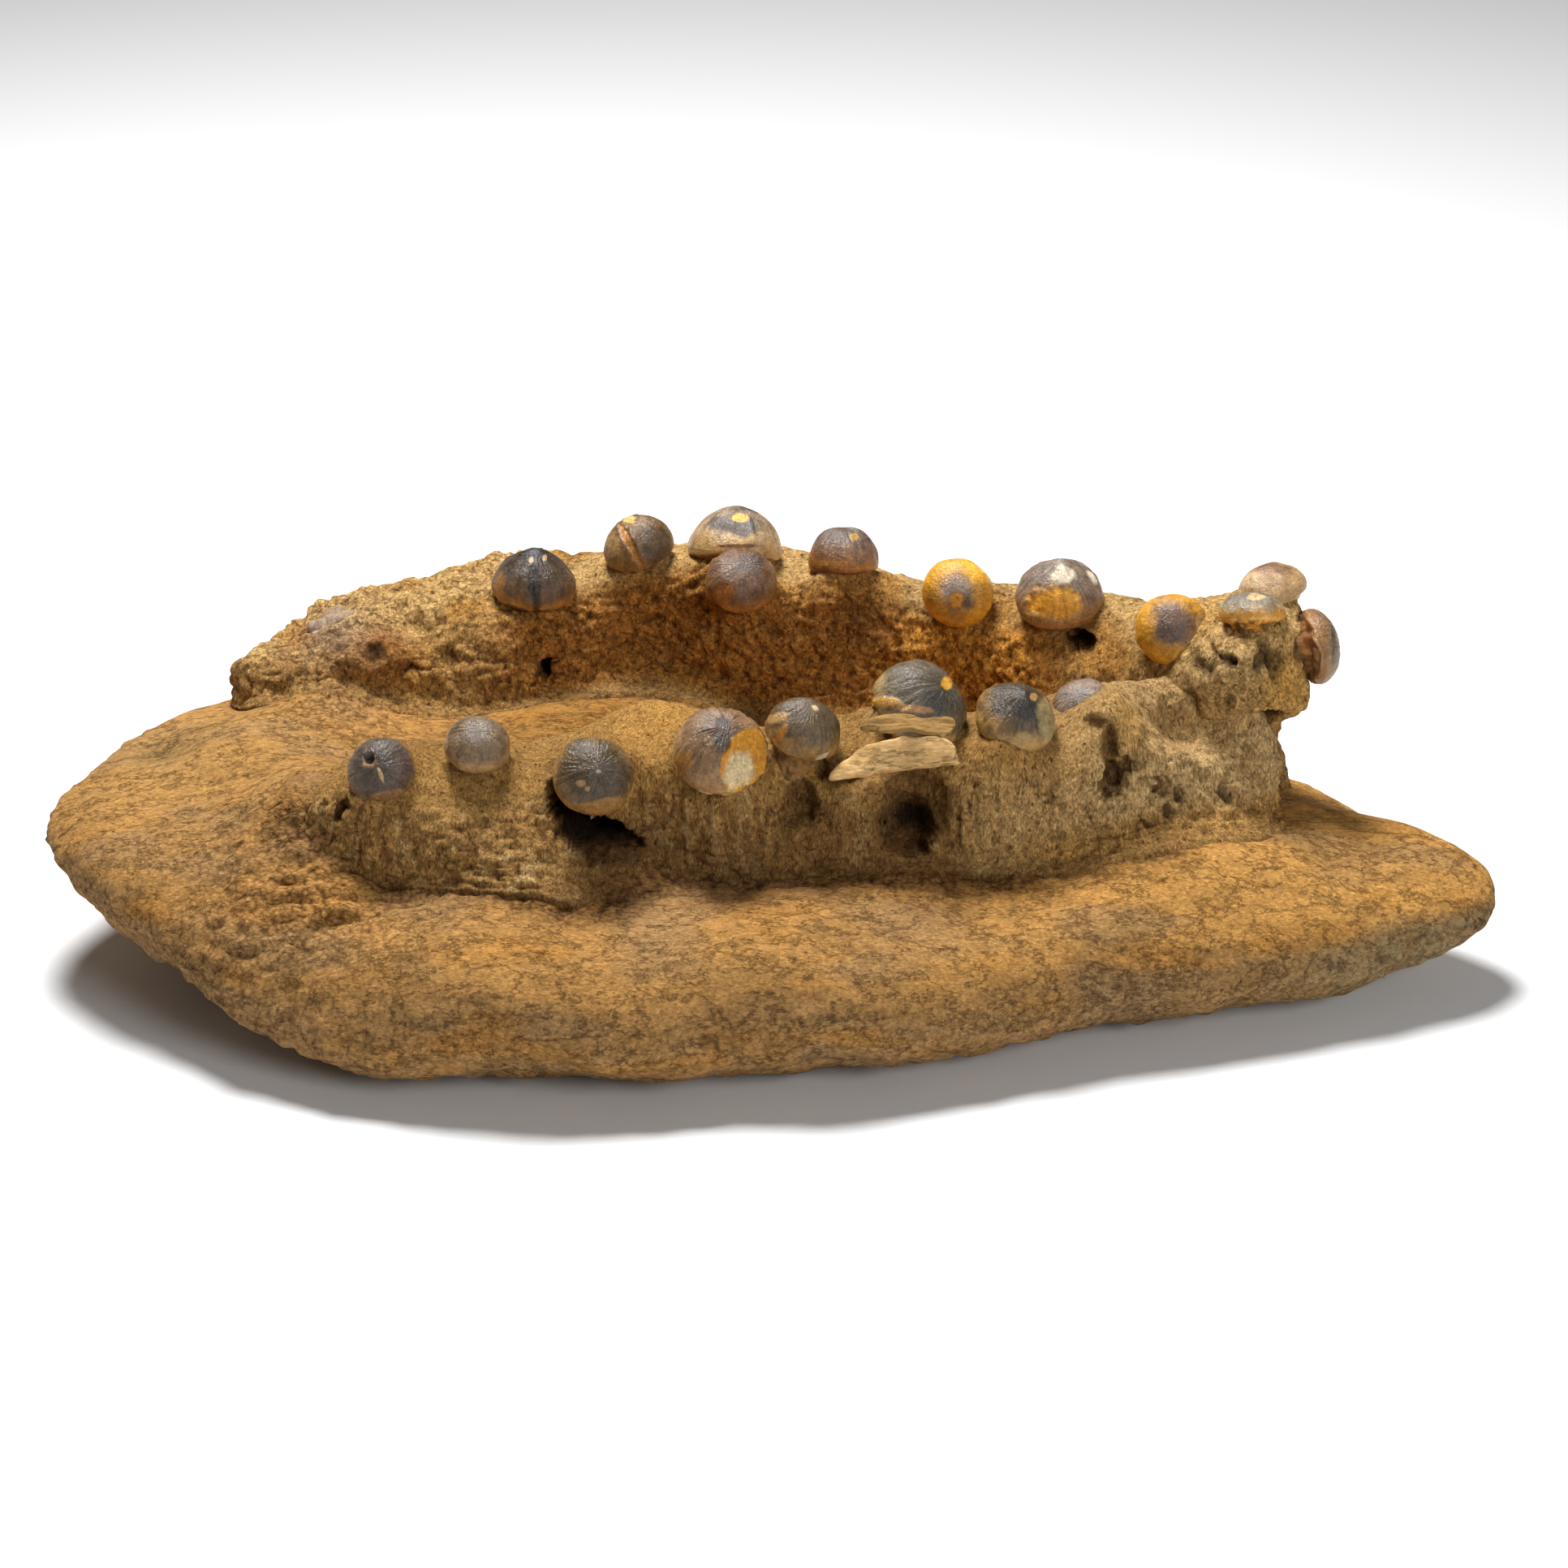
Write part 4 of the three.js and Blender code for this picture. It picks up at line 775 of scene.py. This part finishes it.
# each crown's looks: slot, colours of the root, the thin enamel over it, the girth, the shoulder
# and the tip, height where the enamel ends in girth radii, how ragged that edge is, and marks.
# A mark is a spot or stain: how far right and up of the crown's middle it lies as it is looked at
# from the front, 25 degrees from above, half-sizes along and across, all in girth radii, colour,
# how far the long side is turned from level in degrees, and how deep it lies (below 0, how proud
# it stands). The last two are left out where they are 0.
CROWNS = {
    "near_tooth_1": (SLATE, "#8d6c3f #9a7444 #77614a #52463b #443b33", -0.2, 0.06, [
        # the near-black mark in the sunk pit is painted shade
        (-0.27, 0.27, 0.22, 0.19, "#94714b"), (-0.3, 0.37, 0.18, 0.17, "#1c120a", 0, 0.16),
        (0.08, -0.15, 0.06, 0.24, "#b79d74", 22, -0.03), (0.7, 0.15, 0.24, 0.44, "#5f4c48"),
        (0.3, -0.7, 0.6, 0.16, "#8a6a44", 10),
    ]),
    "near_tooth_2": (BROWN, "#967546 #a3825a #8e7354 #766349 #6b5c4b", -0.2, 0.05, [
        (0, -0.72, 0.85, 0.18, "#a4855a"), (-1, 0.1, 0.14, 0.43, "#ad8d5e"),
    ]),
    "near_tooth_3": (SLATE, "#96703a #a2793f #78603c #50422e #483c2c", -0.2, 0.08, [
        (0.17, 0.13, 0.08, 0.05, "#a3a29c"), (-0.28, -0.17, 0.14, 0.1, "#a88a5c"),
        (-0.1, -0.3, 0.1, 0.08, "#a88a5c"), (-0.98, 0, 0.11, 0.4, "#a8834e"),
        (0.2, -0.76, 0.8, 0.2, "#96703c", 12),
    ]),
    "near_tooth_4": (BROWN, "#94703e #b08f5a #a4835c #856a4e #5a4536", -0.15, 0.12, [
        (0.05, 0.4, 0.22, 0.5, "#443528"), (-0.8, -0.2, 0.2, 0.35, "#a87838", -25),
        (-0.2, -0.88, 0.55, 0.07, "#cfbc9a", -12, -0.02), (0.42, -0.33, 0.3, 0.44, "#ddd0a8", -8),
    ]),
    "near_tooth_5": (BROWN, "#866536 #946f3a #786039 #5c4b32 #4a3f30", -0.15, 0.15, [
        (0.35, 0.65, 0.14, 0.08, "#cdb387", -40, -0.03), (-0.6, 0.4, 0.3, 0.16, "#b08d57", 25, -0.03),
        (-0.55, 0, 0.11, 0.4, "#a8712c", -32), (0.45, -0.65, 0.42, 0.06, "#d0ba94", 35),
        (-0.85, -0.35, 0.14, 0.38, "#a48453"),
    ]),
    "near_tooth_6": (SLATE, "#96743c #a08858 #786a50 #605646 #524a3f", -0.1, 0.1, [
        (-0.25, -0.68, 1.05, 0.2, "#a8885a", 0, -0.03), (0.4, -0.72, 0.6, 0.22, "#bb9a66", 20, -0.02),
        (0.35, 0.2, 0.34, 0.24, "#3d3b38", -30), (0.62, 0.53, 0.12, 0.13, "#dba53e"),
        (-0.58, 0.16, 0.3, 0.12, "#c99b48", 0, -0.04), (-0.15, 0.05, 0.48, 0.08, "#b48d55", -8),
    ]),
    "near_tooth_7": (BROWN, "#a08552 #a8854c #7a6038 #453826 #221f1c", -0.3, 0.1, [
        (0.24, 0.22, 0.3, 0.36, "#25221f"), (0.42, 0.52, 0.11, 0.1, "#b8925c"),
        (0.85, -0.25, 0.3, 0.85, "#9c8c62", 12), (-0.1, -0.65, 0.85, 0.32, "#a2834e"),
    ]),
    "near_tooth_8": (SLATE, "#a5783c #b0803f #97795c #867566 #7c7068", -0.1, 0.15, []),
    "far_tooth_root": (DENTINE, "#96692c #957a52 #8f7a62 #98836e #8d7a68", -0.9, 0.1, [
        (0.2, 0.2, 0.5, 0.4, "#8a6a4c", 20, 0.05), (-0.3, 0.1, 0.4, 0.3, "#b39e92"),
    ]),
    "far_tooth_1": (SLATE, "#7f5a2a #a6742f #6c5640 #4c3f32 #2b251f", -0.15, 0.08, [
        (0.03, 0.77, 0.37, 0.2, "#2b2826"), (0.07, -0.05, 0.15, 0.62, "#2c2520", 5, 0.02),
        (-0.03, 0.61, 0.07, 0.08, "#cbb593"), (0.28, 0.66, 0.06, 0.1, "#cdb693"),
        (0.63, -0.55, 0.3, 0.16, "#a8763a", 25), (-0.52, -0.6, 0.28, 0.12, "#b08850", -20),
        (-0.78, -0.6, 0.13, 0.06, "#d2c3a3", -35),
    ]),
    "far_tooth_2": (BROWN, "#7d5c36 #8c6a3c #7f6340 #6f583a #7d6440", -0.2, 0.05, [
        (0.5, 0.05, 0.5, 0.6, "#54432f"), (-0.7, -0.1, 0.3, 0.7, "#a08050", 25),
        (-0.2, 0, 0.13, 0.85, "#b98140", 27, 0.05), (-0.29, 0.82, 0.2, 0.14, "#dcb96a", -15),
    ]),
    "far_tooth_3": (BROWN, "#8a5c24 #c4a46c #b89c74 #94806a #544a40", -0.12, 0.1, [
        (0, 0.5, 0.6, 0.25, "#4f4944"), (0, -0.3, 0.66, 0.33, "#9a662c"), (0, 0.03, 0.5, 0.05, "#6b3d16"),
        (0.1, 0.65, 0.19, 0.1, "#ddb554"),
    ]),
    "far_tooth_4": (BROWN, "#85582a #a8743c #84623f #6f543e #5c4b3e", -0.15, 0.08, [
        (0.3, 0.55, 0.4, 0.3, "#54453c", 15), (-0.5, -0.4, 0.36, 0.4, "#99622c", -20, 0.02),
        (0.8, -0.2, 0.14, 0.4, "#86694c", -10), (-0.36, 0.3, 0.42, 0.04, "#7d6652", 30),
    ]),
    "far_tooth_5": (BROWN, "#8c5a28 #ad7430 #846448 #6a5a50 #5f564c", -0.1, 0.08, [
        (0, -0.62, 1.05, 0.16, "#a8702e"), (0.29, 0.74, 0.17, 0.14, "#b79348"),
    ]),
    "far_tooth_6": (AMBER, "#b08444 #d0962e #e2a628 #d09a3a #a08468", -0.2, 0.08, [
        # the dark patch at the lower right and the dark ring round the golden cup are painted shade
        (-0.08, 0.05, 0.5, 0.5, "#9c8f88"), (0.2, -0.3, 0.26, 0.24, "#544a42"),
        (0.46, 0.55, 0.48, 0.29, "#e0ac3a", -35), (0, -0.66, 0.29, 0.16, "#9a7238"),
        (-0.06, -0.23, 0.27, 0.28, "#7d5a38"), (-0.06, -0.23, 0.2, 0.22, "#e2a23c"),
        (-0.06, -0.23, 0.07, 0.09, "#c48830", 0, 0.04),
    ]),
    "far_tooth_7": (BROWN, "#a5773a #9f7848 #857060 #7f7064 #8f857a", -0.2, 0.06, [
        (-0.1, -0.1, 0.68, 0.41, "#e6a62a", 0, 0.05), (0, 0.45, 0.29, 0.26, "#e2dac6", 0, -0.01),
        (0.69, 0.42, 0.07, 0.2, "#e4ddcc", 35, -0.03),
    ]),
    "far_tooth_8": (AMBER, "#b88a45 #d69e2e #d89c26 #c4902e #4f3f3a", -0.2, 0.1, [
        # the cream mark at the right is a painted highlight
        (-0.02, 0.13, 0.6, 0.64, "#5a4844"), (0.68, 0.15, 0.13, 0.37, "#cfb388"),
    ]),
    "far_tooth_9": (SLATE, "#b98e4c #cf9430 #a39070 #827c70 #6e6d68", -0.2, 0.1, [
        (0, -0.42, 0.97, 0.2, "#d2922e"), (0.63, -0.3, 0.19, 0.08, "#dba544", 20),
        (0, -0.18, 0.8, 0.05, "#d8ac58"), (0, 0.48, 0.27, 0.12, "#dcc088"),
    ]),
    "far_tooth_10": (AMBER, "#b08c58 #bb9a68 #b8986e #a8875c #8a6b4a", -0.2, 0.08, [
        (0.05, 0.66, 0.6, 0.17, "#7a593c", -12), (-0.67, 0.31, 0.28, 0.25, "#cdb38c"),
    ]),
    "far_tooth_11": (BROWN, "#7a5424 #8c6230 #8a7050 #7f6c55 #6a5a48", -0.2, 0.08, [
        (-0.28, 0.07, 0.14, 0.72, "#8a5522"), (0.39, 0.18, 0.06, 0.72, "#5d4c3a"),
    ]),
}
# where the shades from the thin enamel to the tip set in, in shares of the crown's height; the paler
# girth and darker tip are partly the enamel's own bands and partly a painted sheen, paler towards the edge
SHADE_HEIGHTS = [(-0.9, -0.5), (-0.12, 0.2), (0.25, 0.7), (0.85, 1.02)]
# a broken face: the way it faces, and its distance from the middle of the girth in girth radii
BROKEN = {
    "near_tooth_4": ((0.72, -0.68, 0.12), 0.73),
}


def seen_from_front(points, at, radius):
    """How far right of the crown's middle, up of it and towards the front each point lies, in
    girth radii, for one who looks at the fossil from its front and 25 degrees from above."""
    x, y, z = np.moveaxis((points - np.array(at, float)) / radius, -1, 0)
    down, level = math.sin(VIEW_DOWN), math.cos(VIEW_DOWN)
    return x, z * level + y * down, z * down - y * level


def tooth_rings(at, radius, lean, bearing, crown, taper, edge_height, ragged, broken, ribs, seed):
    """The crown's profile turned round its axis and leant over. Above the girth it is a quarter
    turn whose cosine, raised to the taper, is its width and whose sine is its height. Fine ribs
    run up it, as high as ribs says in girth radii, and shallow dents break it. The enamel is a
    shell that stands proud of the root along its ragged edge. A broken crown has every point past
    its plane brought back to it."""
    up_rows, down_rows, sides = 90, 60, 150
    quarter = np.linspace(np.pi / 2, 0, up_rows)
    dome = np.stack([np.cos(quarter) ** taper, crown * np.sin(quarter)], -1)
    profile = np.concatenate([dome, spline(UNDERSIDE, np.linspace(0, 1, down_rows + 1))[1:]])[::-1]
    rows = len(profile)
    turn = 2 * np.pi * np.arange(sides)[None, :] / sides
    out = np.maximum(profile[:, 0:1], 0)
    out[0], out[-1] = 0, 0
    height = np.broadcast_to(profile[:, 1:2], (rows, sides))
    unit = np.stack([out * np.cos(turn), out * np.sin(turn), height], -1)
    ring = np.stack([np.cos(turn), np.sin(turn), np.zeros_like(turn)], -1)
    edge = edge_height + ragged * (noise(ring, 0.5, seed) + 0.6 * noise(ring, 0.2, seed + 1))
    enamel = eased(height - edge, -0.02, 0.02)
    ridges = noise(np.concatenate([3 * ring] * rows) + 0.35 * unit, 0.17, seed + 2)
    dents = noise(unit, 0.8, seed + 3) + 0.5 * noise(unit, 0.35, seed + 8)
    strength = ribs * eased(height, -0.1, 0.3) * eased(out, 0.05, 0.4)
    unit = unit * (1 - SHELL * (1 - enamel) + ridges * strength + DENTS * dents)[..., None]
    lean_over = np.array(Vector((0, 0, 1)).rotation_difference(Vector(tooth_axis(lean, bearing))).to_matrix())
    points = radius * unit @ lean_over.T
    snapped = np.zeros((rows, sides))
    if broken:
        facing = np.array(broken[0]) / np.linalg.norm(broken[0])
        past = points @ facing - broken[1] * radius
        rough = 0.5 * noise(points, 2.2, seed + 4) + 0.25 * noise(points, 1, seed + 5)
        snapped = eased(past, -0.15, 0.1)
        points = points - (np.maximum(past, 0) - snapped * rough)[..., None] * facing
    return points + np.array(at, float), height / crown, edge, ridges, enamel, snapped


def enamel_material(name, sheen_rough):
    """Fossil enamel: hard, satin and a little see-through, so that light softens at its edges.
    Fine cloudiness breaks up the stain. Where the dull mask says root or break it is matt dentine."""
    material, add = open_material(name)
    place = add("TexCoord", "Object")
    stain = add("Attribute", "Color", attribute_name="stain")
    dull = add("Attribute", "Fac", attribute_name="dull")
    cloud = add("TexNoise", "Fac", {"Vector": place, "Scale": 420, "Detail": 7, "Roughness": 0.8})
    grit = add("TexNoise", "Fac", {"Vector": place, "Scale": 1500, "Detail": 3, "Roughness": 0.7})
    body = stain
    for value, dark, pale in (
        (cloud, (0.6, 0.55, 0.5), (1.4, 1.38, 1.34)),
        (grit, (0.8, 0.76, 0.72), (1.2, 1.19, 1.17)),
    ):
        ramp = add("ValToRGB", "Color", {"Fac": value}, stops=[(0.34, dark), (0.66, pale)])
        body = add("Mix", 2, {0: 1.0, 6: body, 7: ramp}, data_type="RGBA", blend_type="MULTIPLY")
    rough = add("Mix", 0, {0: dull, 2: sheen_rough, 3: DULL_ROUGHNESS})
    bumps = add("Bump", "Normal", {"Height": grit, "Strength": 0.8, "Distance": 0.0004})
    surface = add("BsdfPrincipled", "BSDF", {
        "Base Color": body, "Roughness": rough, "Specular IOR Level": 0.5, "Normal": bumps,
        "Subsurface Weight": 0.15, "Subsurface Scale": 0.002})
    add("OutputMaterial", None, {"Surface": surface})
    return material


finishes = {slot: enamel_material(name, sheen) for slot, (name, sheen, *_) in ENAMEL_FINISH.items()}
for number, (node, (at, radius, lean, bearing, crown, taper)) in enumerate(TEETH.items()):
    slot, shades, edge_height, ragged, marks = CROWNS[node]
    shades = shades.split()
    ribs, groove_shade, soft = ENAMEL_FINISH[slot][2:]
    seed = 100 + 10 * number
    rings, height, edge, ridges, enamel, snapped = tooth_rings(
        at, radius, lean, bearing, crown, taper, edge_height, ragged, BROKEN.get(node), ribs, seed)
    drift = height + 0.14 * noise(rings, 0.5 * radius, seed + 6) + 0.1 * noise(rings, 0.16 * radius, seed + 9)
    uneven = 0.35 * noise(rings, 0.4 * radius, seed + 11) + 0.2 * noise(rings, 0.14 * radius, seed + 12)
    rim = eased(0.2 + uneven - height, -0.06, 0.26)
    stain = stained(colour(shades[0]), [
        *((eased(drift, low, high), shade) for shade, (low, high) in zip(shades[1:], SHADE_HEIGHTS)),
        (1 - enamel, shades[0]),
        (0.8 * rim * enamel, shades[1]),
        (0.3 * np.exp(-((height - edge) / 0.05) ** 2), "#cdb88e"),
        (snapped, "#c98f2c"),
    ])
    right, up, forward = seen_from_front(rings, at, radius)
    middle = np.array(at, float)
    spread = 0.2 * noise(rings, 0.35 * radius, seed + 7) + 0.16 * noise(rings, 0.12 * radius, seed + 5)
    # the grooves between the ribs are darkened as painted shade
    painted_groove_shade = groove_shade * eased(-ridges, 0.1, 0.8) * eased(height, 0, 0.3) * (1 - snapped)
    for mark_right, mark_up, long, wide, tint, *others in marks:
        turned, depth = (*others, 0, 0)[:2]
        tilt = math.radians(turned)
        along = (right - mark_right) * math.cos(tilt) + (up - mark_up) * math.sin(tilt)
        across = (up - mark_up) * math.cos(tilt) - (right - mark_right) * math.sin(tilt)
        off = np.hypot(along / long, across / wide) + spread
        inside = (1 - eased(off, 0.9 - soft, 0.9 + soft)) * (forward > 0)
        stain = stained(stain, [(MARK_COVER * inside, tint)])
        painted_groove_shade *= 1 - 0.8 * inside
        rings = middle + (rings - middle) * (1 - depth * inside)[..., None]
    stain[..., :3] *= (1 - painted_groove_shade)[..., None]
    scuffs = 0.05 + 0.5 * noise(rings, 0.3 * radius, seed + 13) + 0.3 * noise(rings, 0.1 * radius, seed + 14)
    dull = np.clip(np.maximum(scuffs, np.maximum(1 - enamel, snapped)), 0, 1)
    crusted = eased(-height, 0.2, 0.4)
    stain = stained(stain, [(0.8 * crusted * eased(noise(rings, 1.6, seed + 16), 0, 0.5), "#54401f")])
    rings = rings + (rings - middle) * (0.09 * crusted * clumps(rings, 1.8, seed + 17))[..., None]
    if slot == DENTINE:
        rings = middle + (rings - middle) * (1 + 0.13 * clumps(rings, 2.4, seed + 15))[..., None]
    piece = ring_piece(node.replace("tooth", "crown"), rings, stain, {"dull": dull})
    piece.data.materials.append(finishes[slot])
    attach(piece, "root")
    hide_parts(node)

# ---- the floor and the light ----
# A pale flat sheet of matt paper, 8 m across, under one large soft light that hangs above and a
# little behind. A weak fill from the front right opens the shadows.

FLOOR_REACH = 4  # from the middle to each edge, in metres

floor_mesh = bpy.data.meshes.new("floor")
corners = [(FLOOR_REACH * x, FLOOR_REACH * y, 0) for x, y in ((-1, -1), (1, -1), (1, 1), (-1, 1))]
floor_mesh.from_pydata(corners, [], [(0, 1, 2, 3)])
floor = bpy.data.objects.new("floor", floor_mesh)
bpy.context.scene.collection.objects.link(floor)
paper = bpy.data.materials.new("matt white paper")
paper.use_nodes = True
paper.node_tree.nodes["Principled BSDF"].inputs["Base Color"].default_value = colour("#e8e8e8")
paper.node_tree.nodes["Principled BSDF"].inputs["Roughness"].default_value = 0.9
floor_mesh.materials.append(paper)


def soft_light(name, place, target, size, power):
    """A round light of that size in metres and power in watts, turned to face its target."""
    data = bpy.data.lights.new(name, "AREA")
    data.shape = "DISK"
    data.size = size
    data.energy = power
    light = bpy.data.objects.new(name, data)
    light.location = place
    light.rotation_euler = (Vector(target) - Vector(place)).to_track_quat("-Z", "Y").to_euler()
    bpy.context.scene.collection.objects.link(light)


soft_light("overhead", (-0.15, 0.30, 0.95), target=(0, 0.02, 0.03), size=0.36, power=17)
soft_light("front fill", (0.9, -1.2, 0.8), target=(0, 0, 0.03), size=0.7, power=11.5)

world = bpy.data.worlds.new("studio")
world.use_nodes = True
world.node_tree.nodes["Background"].inputs["Color"].default_value = (1, 1, 1, 1)
world.node_tree.nodes["Background"].inputs["Strength"].default_value = 0.1
bpy.context.scene.world = world
bpy.context.scene.view_settings.view_transform = "Standard"

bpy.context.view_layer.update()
